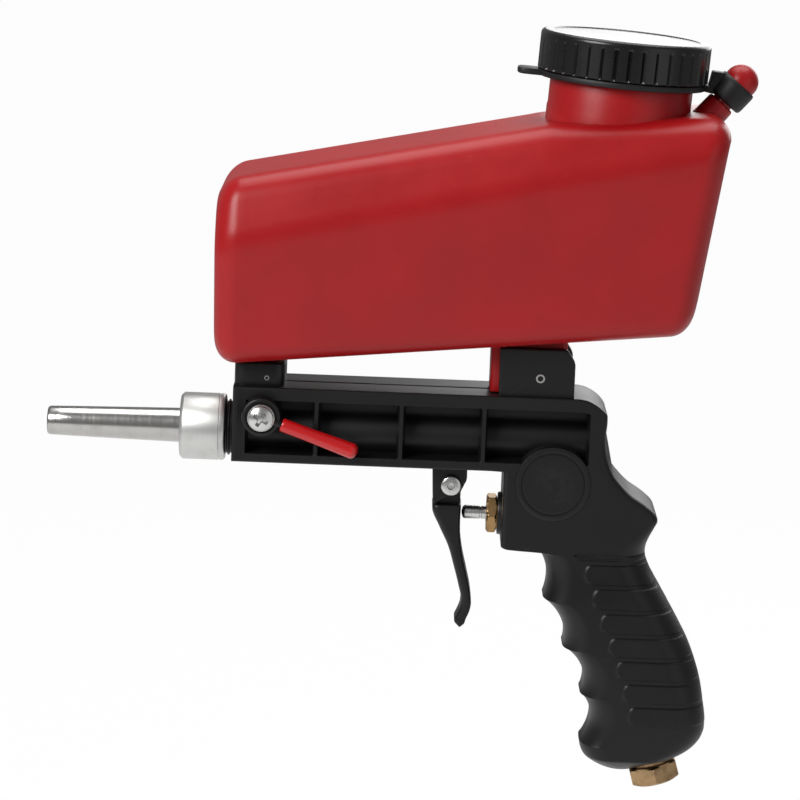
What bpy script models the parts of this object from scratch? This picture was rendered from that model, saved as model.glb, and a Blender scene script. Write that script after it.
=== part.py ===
"""Gravity-feed sandblasting gun: a plastic pistol body that carries a grit hopper, a steel nozzle and an air valve.

Units are metres. +X runs from the nozzle to the grip, +Z is up and +Y points to the gun's left-hand side as
it is fired. Shapes are written in barrel axes, whose origin is the centre of the barrel block's front face, and
the empty gun_frame carries them to the world, whose origin is the middle of the hand grip.
"""

import math

import bmesh
import bpy
from mathutils import Matrix, Vector

MM = 0.001
X_AXIS = Vector((1, 0, 0))
Y_AXIS = Vector((0, 1, 0))
Z_AXIS = Vector((0, 0, 1))

# Clearances
GAP = 0.3 * MM  # between pieces that touch, slide or screw together
REACH = 2 * MM  # how far a cutter or a joined shape runs past the face it crosses

# Hand grip centre in barrel axes: the world origin
GRIP_CENTRE = Vector((131 * MM, 0, -68 * MM))

# Barrel block
BLOCK_LENGTH = 123.2 * MM
BLOCK_TOP = 16.5 * MM
BLOCK_BOTTOM = 8.9 * MM
BLOCK_HALF_WIDTH = 14 * MM
RAIL_TOP = 4.7 * MM
RAIL_BOTTOM = 3.3 * MM
WEB_HALF_WIDTH = 4 * MM
RIB_THICKNESS = 2 * MM
RIB_CENTRES = (27.8 * MM, 55.9 * MM, 83.3 * MM)
FRONT_PLATE = 4.7 * MM
POCKET_END = 118 * MM
BARREL_TUBE_RADIUS = 8.2 * MM

# Trigger-hand block and grip
HAND_BLOCK_FRONT = 90.3 * MM
HAND_BLOCK_BOTTOM = 35.6 * MM
MEDALLION_CENTRE = Vector((107 * MM, 0, -12.4 * MM))
MEDALLION_RADIUS = 12.5 * MM
MEDALLION_HEIGHT = 0.8 * MM
GRIP_HALF_WIDTH = 15.2 * MM
GRIP_LEVELS = 30
GRIP_RING_POINTS = 20

# Nozzle, nut and mixing chamber
NECK_RADIUS = 9.4 * MM
NECK_LENGTH = 9.9 * MM
MIXING_RADIUS = 3.2 * MM
NUT_RADIUS = 11.2 * MM
NUT_LENGTH = 15.1 * MM
NUT_FACE_GAP = 2.7 * MM  # thread left in sight between the nut and the block
NUT_WALL = 3 * MM
NOZZLE_TIP_X = -62.3 * MM
NOZZLE_TIP_RADIUS = 4.8 * MM
NOZZLE_ROOT_RADIUS = 5.8 * MM
NOZZLE_BORE = 3.2 * MM
NOZZLE_FLANGE_RADIUS = 8.5 * MM
SEAL_THICKNESS = 1 * MM

# Air tube and jet
AIR_TUBE_RADIUS = 3.6 * MM
AIR_TUBE_BORE = 2.4 * MM
AIR_JET_LENGTH = 10 * MM
AIR_JET_BORE = 0.9 * MM
AIR_JET_X = 16.3 * MM
DRILLING_X = 100.8 * MM
DRILLING_RADIUS = 2 * MM

# Sand valve: a cross-drilled plug under the front post
PLUG_CENTRE = Vector((9.7 * MM, 0, 7.2 * MM))
PLUG_RADIUS = 3.4 * MM
PLUG_BOSS_RADIUS = 6.2 * MM
SAND_RADIUS = 2.1 * MM
ORING_OFFSET = 9 * MM
ORING_WIRE = 0.45 * MM
CLIP_THICKNESS = 0.8 * MM
LEVER_HUB_RADIUS = 6.6 * MM
LEVER_HUB_LENGTH = 4 * MM
LEVER_ANGLE = math.radians(-18.7)
LEVER_LENGTH = 33.8 * MM
LEVER_ROD_RADIUS = 1.2 * MM
SLEEVE_START = 7.2 * MM
SLEEVE_RADIUS = 2.5 * MM
SLEEVE_END = 0.9 * MM  # rounding and thickness of its closed end
LEVER_SCREW_RADIUS = 1.5 * MM
LEVER_SCREW_HEAD = 4.1 * MM
LEVER_SCREW_GRIP = 9 * MM  # shank inside the plug

# Hopper mountings
POST_FRONT_LENGTH = 16.8 * MM
POST_HALF_WIDTH = 11 * MM
POST_CORNER = 3 * MM
POST_TOP = 24.2 * MM
SPIGOT_RADIUS = 5.2 * MM
SPIGOT_SEAT = 13 * MM  # height of the pocket floor
FRONT_PIN = Vector((10.9 * MM, 0, 19.2 * MM))
FRONT_PIN_RADIUS = 1 * MM
FRONT_PIN_LENGTH = 7.4 * MM
CHEEK_FRONT = 87.7 * MM
CHEEK_REAR = 112.7 * MM
CHEEK_TOP = 32.5 * MM
CHEEK_INNER = 8.3 * MM
CHEEK_OUTER = 12 * MM
FOOT_FRONT = 84.8 * MM
FOOT_REAR = 110.1 * MM
REAR_PIN = Vector((101.3 * MM, 0, 22.6 * MM))
REAR_PIN_RADIUS = 1.5 * MM

# Hopper
HOPPER_WALL = 2.5 * MM
HOPPER_FRONT = -6.8 * MM
HOPPER_REAR_BOTTOM = 150.8 * MM
HOPPER_REAR_TOP = 160.6 * MM
HOPPER_FLOOR = 24.6 * MM  # at barrel-axes X = 0
HOPPER_FLOOR_SLOPE = 0.10
HOPPER_TOP = 87.2 * MM  # at barrel-axes X = 0
HOPPER_TOP_SLOPE = 0.205
HOPPER_BREAK_X = 100 * MM  # the top turns flatter here
HOPPER_REAR_HEIGHT = 112.6 * MM
BREAK_HEIGHT = HOPPER_TOP + HOPPER_TOP_SLOPE * HOPPER_BREAK_X
ROOF_SLOPE = (HOPPER_REAR_HEIGHT - BREAK_HEIGHT) / (HOPPER_REAR_TOP - HOPPER_BREAK_X)
CREASE_HEIGHT = 67 * MM  # at barrel-axes X = 0
CREASE_DROP = 8.18 * MM  # below the roof's rear end
CREASE_SLOPE = (HOPPER_REAR_HEIGHT - CREASE_DROP - CREASE_HEIGHT) / HOPPER_REAR_TOP
HALF_WIDTH_FLOOR = 22 * MM
HALF_WIDTH_CREASE = 33 * MM
FILLER_RADIUS = 23.5 * MM
FILLER_SHOULDER = 3.5 * MM  # from the neck's side to the roof's edge
HALF_WIDTH_TOP = FILLER_RADIUS + FILLER_SHOULDER
HOPPER_ROUNDING = 6 * MM

# Filler neck, cap and tether
NECK_TILT = math.radians(3.5)
CAP_X = 123.9 * MM
CAP_RISE = 10.77 * MM  # above the roof
CAP_BASE = Vector((CAP_X, 0, BREAK_HEIGHT + ROOF_SLOPE * (CAP_X - HOPPER_BREAK_X) + CAP_RISE))
FILLER_WALL = 3 * MM
FILLER_BORE = FILLER_RADIUS - FILLER_WALL
FILLER_SEAT = 17 * MM  # how far the neck runs below the cap's base
FILLER_DEPTH = 26 * MM  # length of the cutter for its hole
CAP_THREAD_GAP = 0.5 * MM
CAP_SKIRT = 4 * MM
CAP_RADIUS = FILLER_RADIUS + CAP_THREAD_GAP + CAP_SKIRT
CAP_HEIGHT = 15.2 * MM  # with the tether ring
CAP_TOP_WALL = 2.2 * MM
LINER_THICKNESS = 1.2 * MM
RING_THICKNESS = 2 * MM
RING_INSET = 0.4 * MM
RING_RADIUS = CAP_RADIUS - RING_INSET
TAB_LENGTH = 6.9 * MM
TAB_REACH = RING_RADIUS + TAB_LENGTH
TAB_WIDTH = 10 * MM
TETHER_POST_AXIS = Vector((0.644, 0, 0.764)).normalized()
TETHER_REACH = 11.1 * MM  # from the cap's side to the ball's centre
TETHER_RISE = 1.6 * MM  # from the cap's base to the ball's centre
TETHER_BALL = Vector((CAP_X + CAP_RADIUS + TETHER_REACH, 0, CAP_BASE.z + TETHER_RISE))
TETHER_BALL_RADIUS = 5.7 * MM
TETHER_SHAFT_RADIUS = 4.8 * MM
TETHER_ROOT = 5.13 * MM  # how far the shaft's end lies below the roof's rear end
TETHER_SHAFT_LENGTH = (TETHER_BALL.z - HOPPER_REAR_HEIGHT + TETHER_ROOT) / TETHER_POST_AXIS.z
TETHER_GROOVE_RADIUS = 3.6 * MM
TETHER_LOOP_DROP = 6.6 * MM  # loop centre below the ball centre
TETHER_LOOP_HEIGHT = 5 * MM
TETHER_LOOP_RADIUS = 6.4 * MM
STRAP_HEIGHT = 6.2 * MM
STRAP_WIDTH = 6 * MM

# Trigger
TRIGGER_PIN = Vector((73.3 * MM, 0, -15.5 * MM))
TRIGGER_PIN_RADIUS = 1.75 * MM
TRIGGER_PIN_HEAD = 3.4 * MM
TRIGGER_PIN_HEAD_LENGTH = 1.6 * MM
EAR_INNER = 3.9 * MM
EAR_OUTER = 7 * MM
FINGER_HALF_WIDTH = 6.5 * MM
TONGUE_RADIUS = 4.6 * MM

# Air valve
VALVE_HEIGHT = -26 * MM
VALVE_BORE = 5.7 * MM
VALVE_DEPTH = 121 * MM  # X of the chamber's end
BOSS_RADIUS = 7.2 * MM
BOSS_HEIGHT = 1 * MM
GLAND_HEX = 12 * MM
GLAND_HEX_LENGTH = 3.4 * MM
GLAND_SHANK = 8 * MM
STEM_RADIUS = 2.3 * MM
STEM_FRONT = 77.3 * MM
STEM_SEAL_LENGTH = 1.6 * MM
SEAT_X = 103.2 * MM
SEAT_LENGTH = 2 * MM
SEAT_HOLE = 3.2 * MM
POPPET_LENGTH = 3 * MM
POPPET_RADIUS = 4.4 * MM
TAIL_RADIUS = 1.5 * MM
TAIL_LENGTH = 5 * MM
SPRING_RADIUS = 3.9 * MM
SPRING_WIRE = 0.5 * MM
SPRING_TURNS = 5
SPRING_END_GAP = 2.6 * MM  # to the end of the chamber

# Air inlet
INLET_TILT = math.radians(16)
INLET_AXIS = Vector((math.sin(INLET_TILT), 0, -math.cos(INLET_TILT)))
INLET_BASE = Vector((145.6 * MM, 0, -110.6 * MM))
INLET_HEX = 16 * MM
INLET_HEX_LENGTH = 6.4 * MM
INLET_SHANK_RADIUS = 6.9 * MM
INLET_SHANK_LENGTH = 14 * MM
INLET_BORE = 5.5 * MM
PASSAGE_RADIUS = 3 * MM

# Facets of round pieces
FINE = 40
MEDIUM = 28
COARSE = 16


# --- Materials ------------------------------------------------------------------------------------------------


def make_material(name, colour, roughness, metallic=0.0):
    """A Principled material with one base colour."""
    material = bpy.data.materials.new(name)
    material.use_nodes = True
    shader = material.node_tree.nodes["Principled BSDF"]
    shader.inputs["Base Color"].default_value = (*colour, 1.0)
    shader.inputs["Roughness"].default_value = roughness
    shader.inputs["Metallic"].default_value = metallic
    material.diffuse_color = (*colour, 1.0)
    return material


# --- Shape helpers --------------------------------------------------------------------------------------------


def aimed(start, axis):
    """The matrix that carries local +Z to the axis and the local origin to the start point."""
    turn = Z_AXIS.rotation_difference(Vector(axis).normalized()).to_matrix().to_4x4()
    return Matrix.Translation(start) @ turn


def finish_mesh(name, bm, material=None):
    """Makes an object from a bmesh, with its normals outwards and round faces smooth."""
    bmesh.ops.remove_doubles(bm, verts=bm.verts, dist=1e-7)
    bmesh.ops.recalc_face_normals(bm, faces=bm.faces)
    mesh = bpy.data.meshes.new(name)
    bm.to_mesh(mesh)
    bm.free()
    mesh.shade_smooth()
    mesh.set_sharp_from_angle(angle=math.radians(35))
    if material is not None:
        mesh.materials.append(material)
    obj = bpy.data.objects.new(name, mesh)
    bpy.context.scene.collection.objects.link(obj)
    return obj


def turned(name, profile, start, axis, segments=MEDIUM, material=None):
    """Spins a profile of (distance along the axis, radius) points. A profile that leaves the axis is closed."""
    bm = bmesh.new()
    verts = [bm.verts.new((radius, 0, height)) for height, radius in profile]
    pairs = list(zip(verts, verts[1:]))
    if profile[0][1] > 0:
        pairs.append((verts[-1], verts[0]))
    edges = [bm.edges.new(pair) for pair in pairs]
    bmesh.ops.spin(
        bm, geom=verts + edges, cent=(0, 0, 0), axis=Z_AXIS, angle=math.tau, steps=segments, use_merge=True
    )
    bmesh.ops.remove_doubles(bm, verts=bm.verts, dist=1e-6)
    bm.transform(aimed(start, axis))
    return finish_mesh(name, bm, material)


def rod(name, start, axis, length, radius, segments=COARSE, material=None):
    """A plain cylinder from the start point along the axis."""
    return turned(name, [(0, 0), (0, radius), (length, radius), (length, 0)], start, axis, segments, material)


def sleeve(name, start, axis, length, bore, radius, segments=MEDIUM, material=None):
    """A plain tube from the start point along the axis."""
    profile = [(0, bore), (0, radius), (length, radius), (length, bore)]
    return turned(name, profile, start, axis, segments, material)


def ball(name, centre, radius, segments=COARSE, material=None):
    """A sphere turned from a half circle."""
    steps = segments // 2
    angles = [math.pi * step / steps for step in range(steps + 1)]
    profile = [(-radius * math.cos(a), radius * math.sin(a)) for a in angles]
    profile[0] = (-radius, 0)
    profile[-1] = (radius, 0)
    return turned(name, profile, centre, Z_AXIS, segments, material)


def torus(name, centre, axis, radius, wire, segments=MEDIUM, wire_points=8, material=None):
    """A ring of round section, such as an O-ring."""
    angles = [math.tau * step / wire_points for step in range(wire_points)]
    profile = [(wire * math.sin(a), radius + wire * math.cos(a)) for a in angles]
    return turned(name, profile, centre, axis, segments, material)


def prism(name, outline, low, high, material=None):
    """Extrudes an outline of (x, z) points along Y."""
    bm = bmesh.new()
    face = bm.faces.new([bm.verts.new((x, low, z)) for x, z in outline])
    moved = bmesh.ops.extrude_face_region(bm, geom=[face])["geom"]
    top = [item for item in moved if isinstance(item, bmesh.types.BMVert)]
    bmesh.ops.translate(bm, verts=top, vec=(0, high - low, 0))
    return finish_mesh(name, bm, material)


def block(name, low, high, material=None):
    """A box between two corners."""
    outline = [(low[0], low[2]), (high[0], low[2]), (high[0], high[2]), (low[0], high[2])]
    return prism(name, outline, low[1], high[1], material)


def hexagon(name, start, axis, length, flats, material=None, chamfer=0.8 * MM):
    """A hexagonal bar whose far end has its corners turned off."""
    corner = flats / math.sqrt(3)
    bm = bmesh.new()
    ring = [
        bm.verts.new((corner * math.cos(math.tau * k / 6), corner * math.sin(math.tau * k / 6), 0))
        for k in range(6)
    ]
    face = bm.faces.new(ring)
    moved = bmesh.ops.extrude_face_region(bm, geom=[face])["geom"]
    top = [item for item in moved if isinstance(item, bmesh.types.BMVert)]
    bmesh.ops.translate(bm, verts=top, vec=(0, 0, length))
    bm.transform(aimed(start, axis))
    bar = finish_mesh(name, bm, material)
    envelope = [(-REACH, 0), (-REACH, corner + REACH), (length - chamfer, corner + REACH)]
    envelope += [(length - chamfer, flats / 2 + chamfer), (length, flats / 2 - chamfer / 2), (length, 0)]
    if chamfer > 0:
        change(bar, "INTERSECT", turned(f"{name}_turned_end", envelope, start, axis, MEDIUM))
    return bar


def arc_points(start, end, sagitta, count):
    """Points from start towards end on the arc that stands this far off the chord, to the left of its way."""
    chord = Vector(end) - Vector(start)
    if count < 2 or sagitta == 0:
        return [tuple(start)]
    half = chord.length / 2
    radius = (half * half + sagitta * sagitta) / (2 * abs(sagitta))
    side = 1 if sagitta > 0 else -1
    left = Vector((-chord.y, chord.x)).normalized() * side
    centre = (Vector(start) + Vector(end)) / 2 + left * (abs(sagitta) - radius)
    first = Vector(start) - centre
    sweep = 2 * math.asin(min(1.0, half / radius)) * -side
    turns = [sweep * step / count for step in range(count)]
    return [tuple(centre + Matrix.Rotation(turn, 2) @ first) for turn in turns]


def curved_outline(corners, count=5):
    """An outline of (x, z, sagitta of the side to the next corner) as points, in millimetres."""
    points = []
    for (x, z, sagitta), (next_x, next_z, _) in zip(corners, corners[1:] + corners[:1]):
        steps = count if sagitta else 1
        side = arc_points((x * MM, z * MM), (next_x * MM, next_z * MM), sagitta * MM, steps)
        points += side
    return points


def rounded_box_outline(left, right, front, rear, corner, steps=4):
    """A rectangle in (x, y) with round corners."""
    corners = (
        (right - corner, rear - corner, 0),
        (left + corner, rear - corner, 1),
        (left + corner, front + corner, 2),
        (right - corner, front + corner, 3),
    )
    return [
        (
            x + corner * math.cos(math.pi / 2 * (quarter + step / steps)),
            y + corner * math.sin(math.pi / 2 * (quarter + step / steps)),
        )
        for x, y, quarter in corners
        for step in range(steps + 1)
    ]


def tower(name, outline, low, high, material=None):
    """Extrudes an outline of (x, y) points along Z."""
    bm = bmesh.new()
    face = bm.faces.new([bm.verts.new((x, y, low)) for x, y in outline])
    moved = bmesh.ops.extrude_face_region(bm, geom=[face])["geom"]
    top = [item for item in moved if isinstance(item, bmesh.types.BMVert)]
    bmesh.ops.translate(bm, verts=top, vec=(0, 0, high - low))
    return finish_mesh(name, bm, material)


def lofted(name, rings, material=None):
    """Joins rings of equally many points by quads and closes both ends."""
    bm = bmesh.new()
    rows = [[bm.verts.new(point) for point in ring] for ring in rings]
    for lower, upper in zip(rows, rows[1:]):
        for k in range(len(lower)):
            after = (k + 1) % len(lower)
            bm.faces.new((lower[k], lower[after], upper[after], upper[k]))
    bm.faces.new(rows[0][::-1])
    bm.faces.new(rows[-1])
    return finish_mesh(name, bm, material)


def change(obj, operation, helper):
    """Adds a Boolean with a helper object, which is left out of the model.

    Every mesh here is closed, so the manifold solver applies. The exact one leaves open edges where bores meet.
    """
    modifier = obj.modifiers.new(helper.name, "BOOLEAN")
    modifier.operation = operation
    modifier.object = helper
    modifier.solver = "MANIFOLD"
    helper.hide_render = True
    helper.display_type = "WIRE"
    return obj


def join(obj, *helpers):
    """Unites the object with each helper."""
    for helper in helpers:
        change(obj, "UNION", helper)


def cut(obj, *helpers):
    """Takes each helper away from the object."""
    for helper in helpers:
        change(obj, "DIFFERENCE", helper)


def pivot(obj, point):
    """Moves the object's origin to a point on its joint's axis, with its shape left in place."""
    obj.data.transform(Matrix.Translation(-point))
    obj.location = point
    return obj


# --- Gun body -------------------------------------------------------------------------------------------------


def grip_front(level):
    """X of the grip's front face at a height in millimetres: four finger grooves with cusps between them."""
    cusps = ((-35.0, 101.8), (-53.2, 105.6), (-69.6, 113.0), (-85.8, 119.6), (-102.8, 120.4))
    depths = (2.9, 3.3, 3.9, 3.6)
    for (top, top_x), (bottom, bottom_x), depth in zip(cusps, cusps[1:], depths):
        if bottom <= level <= top:
            share = (top - level) / (top - bottom)
            hollow = depth * math.sin(math.pi * share**0.85) ** 0.8 if 0 < share < 1 else 0.0
            return top_x + (bottom_x - top_x) * share + hollow
    if level > cusps[0][0]:
        return cusps[0][1]
    drop = min(1.0, (cusps[-1][0] - level) / 10.6)
    return 120.0 + 15.5 * (1 - math.sqrt(max(0.0, 1 - drop**2)))


def grip_back(level):
    """X of the grip's back at a height in millimetres: a long swell above a rounded heel."""
    heel = -94.4
    if level < heel:
        drop = min(1.0, (heel - level) / 19.0)
        return 162.6 - 26.0 * (1 - math.sqrt(max(0.0, 1 - drop**1.7)))
    share = (level - heel) / (-33.6 - heel)
    return 162.6 - 23.4 * max(0.0, share) ** 1.55


def grip_ring(level):
    """The grip's oval section at a height in millimetres."""
    front, back = grip_front(level), grip_back(level)
    half_length = (back - front) / 2
    centre = (back + front) / 2
    swell = 1 - 0.12 * ((level + 72) / 42) ** 2
    foot = min(1.0, max(0.05, (level + 113.6) / 7.0)) ** 0.5
    half_width = GRIP_HALF_WIDTH * swell * foot
    ring = []
    for k in range(GRIP_RING_POINTS):
        angle = math.tau * k / GRIP_RING_POINTS
        along = math.copysign(abs(math.cos(angle)) ** 0.8, math.cos(angle))
        across = math.copysign(abs(math.sin(angle)) ** 0.8, math.sin(angle))
        ring.append(((centre + half_length * along) * MM, half_width * across, level * MM))
    return ring


def body_outline():
    """Side outline of the barrel block with the trigger-hand block under its rear end."""
    length, top, bottom = BLOCK_LENGTH / MM, BLOCK_TOP / MM, -BLOCK_BOTTOM / MM
    front, low = HAND_BLOCK_FRONT / MM, -HAND_BLOCK_BOTTOM / MM
    return curved_outline(
        [
            (0, top, 0),
            (0, bottom, 0),
            (front - 4.4, bottom, 1.3),
            (front, bottom - 4.4, 0),
            (front, low + 1.2, -0.3),
            (front + 1.2, low, 0),
            (140.4, low, -0.9),
            (142.6, -24.2, 0),
            (141.7, -21.9, 0),
            (133.5, -15.7, 1.4),
            (length + 0.9, -1.1, 0.4),
            (length + 0.8, 8.5, -0.3),
            (length, 11.7, -1.6),
            (length - 8.2, top, 0),
        ]
    )


def pocket_cutters():
    """Boxes for the four lightening pockets of each side, between the rails and the ribs."""
    walls = [FRONT_PLATE]
    for centre in RIB_CENTRES:
        walls += [centre - RIB_THICKNESS / 2, centre + RIB_THICKNESS / 2]
    walls.append(POCKET_END)
    low, high = -BLOCK_BOTTOM + RAIL_BOTTOM, BLOCK_TOP - RAIL_TOP
    cutters = []
    for side in (-1, 1):
        inner, outer = side * WEB_HALF_WIDTH, side * (BLOCK_HALF_WIDTH + REACH)
        ends = sorted((inner, outer))
        for number, (start, end) in enumerate(zip(walls[::2], walls[1::2])):
            name = f"pocket_{number}_{'near' if side < 0 else 'far'}"
            cutters.append(block(name, (start, ends[0], low), (end, ends[1], high)))
    return cutters


def ears():
    """The two ears that hold the trigger pin."""
    bottom = -BLOCK_BOTTOM / MM
    outline = curved_outline(
        [(66.9, bottom + 0.8, 0), (67.4, -22.2, 0), (76.7, -16.8, 0.4), (78.6, -14, 0), (78.5, bottom + 0.8, 0)]
    )
    return [
        prism("ear_near", outline, -EAR_OUTER, -EAR_INNER),
        prism("ear_far", outline, EAR_INNER, EAR_OUTER),
    ]


def cheeks():
    """The two cheeks that hold the hopper's rear foot."""
    low = BLOCK_TOP - REACH
    outline = [
        (CHEEK_FRONT, low),
        (CHEEK_REAR, low),
        (CHEEK_REAR, CHEEK_TOP - 4.4 * MM),
        (CHEEK_REAR - 2.8 * MM, CHEEK_TOP),
        (CHEEK_FRONT, CHEEK_TOP),
    ]
    return [
        prism("cheek_near", outline, -CHEEK_OUTER, -CHEEK_INNER),
        prism("cheek_far", outline, CHEEK_INNER, CHEEK_OUTER),
    ]


def make_gun_body(material):
    """The one-piece moulded body with all its bosses, posts, bores and pockets."""
    body = prism("gun_body", body_outline(), -BLOCK_HALF_WIDTH, BLOCK_HALF_WIDTH, material)
    cut(body, *pocket_cutters())
    tube_start = FRONT_PLATE / 2
    barrel_tube = rod(
        "barrel_wall", (tube_start, 0, 0), X_AXIS, POCKET_END - tube_start + REACH, BARREL_TUBE_RADIUS, MEDIUM
    )
    boss_half = BLOCK_HALF_WIDTH - 0.05 * MM
    plug_boss = rod(
        "plug_boss", PLUG_CENTRE - Y_AXIS * boss_half, Y_AXIS, 2 * boss_half, PLUG_BOSS_RADIUS, MEDIUM
    )
    medallion_half = BLOCK_HALF_WIDTH + MEDALLION_HEIGHT
    medallion = rod(
        "medallion", MEDALLION_CENTRE - Y_AXIS * medallion_half, Y_AXIS, 2 * medallion_half, MEDALLION_RADIUS, FINE
    )
    levels = [-30 - (113.2 - 30) * step / GRIP_LEVELS for step in range(GRIP_LEVELS + 1)]
    grip = lofted("grip", [grip_ring(level) for level in reversed(levels)])
    neck = rod("nozzle_neck", (-NECK_LENGTH, 0, 0), X_AXIS, NECK_LENGTH + REACH, NECK_RADIUS, MEDIUM)
    post_outline = rounded_box_outline(
        0.1 * MM, 0.1 * MM + POST_FRONT_LENGTH, -POST_HALF_WIDTH, POST_HALF_WIDTH, POST_CORNER
    )
    post = tower("front_post", post_outline, BLOCK_TOP - REACH, POST_TOP)
    valve_boss = rod(
        "valve_boss",
        (HAND_BLOCK_FRONT - BOSS_HEIGHT, 0, VALVE_HEIGHT),
        X_AXIS,
        BOSS_HEIGHT + REACH,
        BOSS_RADIUS,
        MEDIUM,
    )
    join(body, barrel_tube, plug_boss, medallion, grip, neck, post, valve_boss)
    join(body, *cheeks(), *ears())

    spigot_pocket = rod(
        "spigot_pocket",
        (PLUG_CENTRE.x, 0, SPIGOT_SEAT),
        Z_AXIS,
        POST_TOP - SPIGOT_SEAT + REACH,
        SPIGOT_RADIUS + GAP,
    )
    sand_way = rod(
        "sand_way", (PLUG_CENTRE.x, 0, 0), Z_AXIS, SPIGOT_SEAT + REACH, SAND_RADIUS, COARSE
    )
    mixing = rod(
        "mixing_bore", (-NECK_LENGTH - REACH, 0, 0), X_AXIS, NECK_LENGTH + AIR_JET_X + REACH, MIXING_RADIUS, MEDIUM
    )
    barrel_bore = rod(
        "barrel_bore", (AIR_JET_X - GAP, 0, 0), X_AXIS, DRILLING_X - AIR_JET_X + REACH, AIR_TUBE_RADIUS + GAP, MEDIUM
    )
    reach_y = BLOCK_HALF_WIDTH + REACH
    plug_bore = rod(
        "plug_bore", PLUG_CENTRE - Y_AXIS * reach_y, Y_AXIS, 2 * reach_y, PLUG_RADIUS + GAP, MEDIUM
    )
    pin_reach = POST_HALF_WIDTH + REACH
    front_pin_way = rod(
        "front_pin_way", FRONT_PIN - Y_AXIS * pin_reach, Y_AXIS, 2 * pin_reach, FRONT_PIN_RADIUS + GAP, 12
    )
    rear_reach = CHEEK_OUTER + REACH
    rear_pin_way = rod(
        "rear_pin_way", REAR_PIN - Y_AXIS * rear_reach, Y_AXIS, 2 * rear_reach, REAR_PIN_RADIUS + GAP, 16
    )
    ear_reach = EAR_OUTER + REACH
    trigger_pin_way = rod(
        "trigger_pin_way", TRIGGER_PIN - Y_AXIS * ear_reach, Y_AXIS, 2 * ear_reach, TRIGGER_PIN_RADIUS + GAP, 16
    )
    chamber_start = HAND_BLOCK_FRONT - BOSS_HEIGHT - REACH
    chamber = rod(
        "valve_chamber", (chamber_start, 0, VALVE_HEIGHT), X_AXIS, VALVE_DEPTH - chamber_start, VALVE_BORE, MEDIUM
    )
    drilling = rod("air_drilling", (DRILLING_X, 0, VALVE_HEIGHT), Z_AXIS, -VALVE_HEIGHT, DRILLING_RADIUS, 16)
    passage_length = (VALVE_HEIGHT - INLET_BASE.z) / math.cos(INLET_TILT)
    passage = rod("air_passage", INLET_BASE, -INLET_AXIS, passage_length, PASSAGE_RADIUS, 16)
    socket = rod(
        "inlet_socket",
        INLET_BASE + INLET_AXIS * 2 * REACH,
        -INLET_AXIS,
        INLET_SHANK_LENGTH + GAP + 2 * REACH,
        INLET_SHANK_RADIUS + GAP,
        MEDIUM,
    )
    cut(body, spigot_pocket, sand_way, mixing, barrel_bore, plug_bore, front_pin_way, rear_pin_way)
    cut(body, trigger_pin_way, chamber, drilling, passage, socket)
    hex_room = rod(
        "hex_room", INLET_BASE - INLET_AXIS * GAP, INLET_AXIS, 4 * INLET_HEX_LENGTH, INLET_HEX, MEDIUM
    )
    cut(body, hex_room)
    return body


# --- Nozzle and nut -------------------------------------------------------------------------------------------


def nut_front():
    """X of the nut's front face."""
    return -NUT_FACE_GAP - NUT_LENGTH


def make_nozzle_parts(steel, aluminium, rubber):
    """The nozzle with its flange, the nut that clamps it and the washer between it and the neck."""
    flange_front = nut_front() + NUT_WALL + GAP
    seal_front = -NECK_LENGTH - GAP - SEAL_THICKNESS
    flange_rear = seal_front - GAP
    tip_chamfer = 0.7 * MM
    profile = [
        (NOZZLE_TIP_X, NOZZLE_BORE),
        (NOZZLE_TIP_X, NOZZLE_TIP_RADIUS - tip_chamfer),
        (NOZZLE_TIP_X + tip_chamfer, NOZZLE_TIP_RADIUS),
        (flange_front, NOZZLE_ROOT_RADIUS),
        (flange_front, NOZZLE_FLANGE_RADIUS),
        (flange_rear, NOZZLE_FLANGE_RADIUS),
        (flange_rear, NOZZLE_BORE),
    ]
    nozzle = turned("nozzle", profile, (0, 0, 0), X_AXIS, FINE, steel)
    seal = sleeve(
        "nozzle_seal",
        (seal_front, 0, 0),
        X_AXIS,
        SEAL_THICKNESS,
        NOZZLE_BORE + GAP,
        NOZZLE_FLANGE_RADIUS,
        MEDIUM,
        rubber,
    )
    start, end, chamfer = nut_front(), -NUT_FACE_GAP, 0.8 * MM
    bore, hole = NECK_RADIUS + GAP, NOZZLE_ROOT_RADIUS + GAP
    profile = [
        (start, hole),
        (start, NUT_RADIUS - chamfer),
        (start + chamfer, NUT_RADIUS),
        (end - chamfer, NUT_RADIUS),
        (end, NUT_RADIUS - chamfer),
        (end, bore),
        (start + NUT_WALL, bore),
        (start + NUT_WALL, hole),
    ]
    nut = turned("nozzle_nut", profile, (0, 0, 0), X_AXIS, FINE, aluminium)
    return nozzle, seal, nut


def make_air_parts(brass):
    """The air tube along the barrel and the jet at its front end."""
    start, end = AIR_JET_X, AIR_JET_X + AIR_JET_LENGTH
    profile = [
        (start, AIR_JET_BORE),
        (start, AIR_JET_BORE + 0.9 * MM),
        (start + AIR_JET_LENGTH / 2, AIR_TUBE_RADIUS),
        (end, AIR_TUBE_RADIUS),
        (end, AIR_JET_BORE + 1.2 * MM),
        (end - AIR_JET_LENGTH / 3, AIR_JET_BORE),
    ]
    turned("air_jet", profile, (0, 0, 0), X_AXIS, COARSE, brass)
    tube_start = end + GAP
    tube_end = DRILLING_X - DRILLING_RADIUS - GAP
    sleeve(
        "air_tube", (tube_start, 0, 0), X_AXIS, tube_end - tube_start, AIR_TUBE_BORE, AIR_TUBE_RADIUS, COARSE, brass
    )


# --- Sand valve -----------------------------------------------------------------------------------------------


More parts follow.
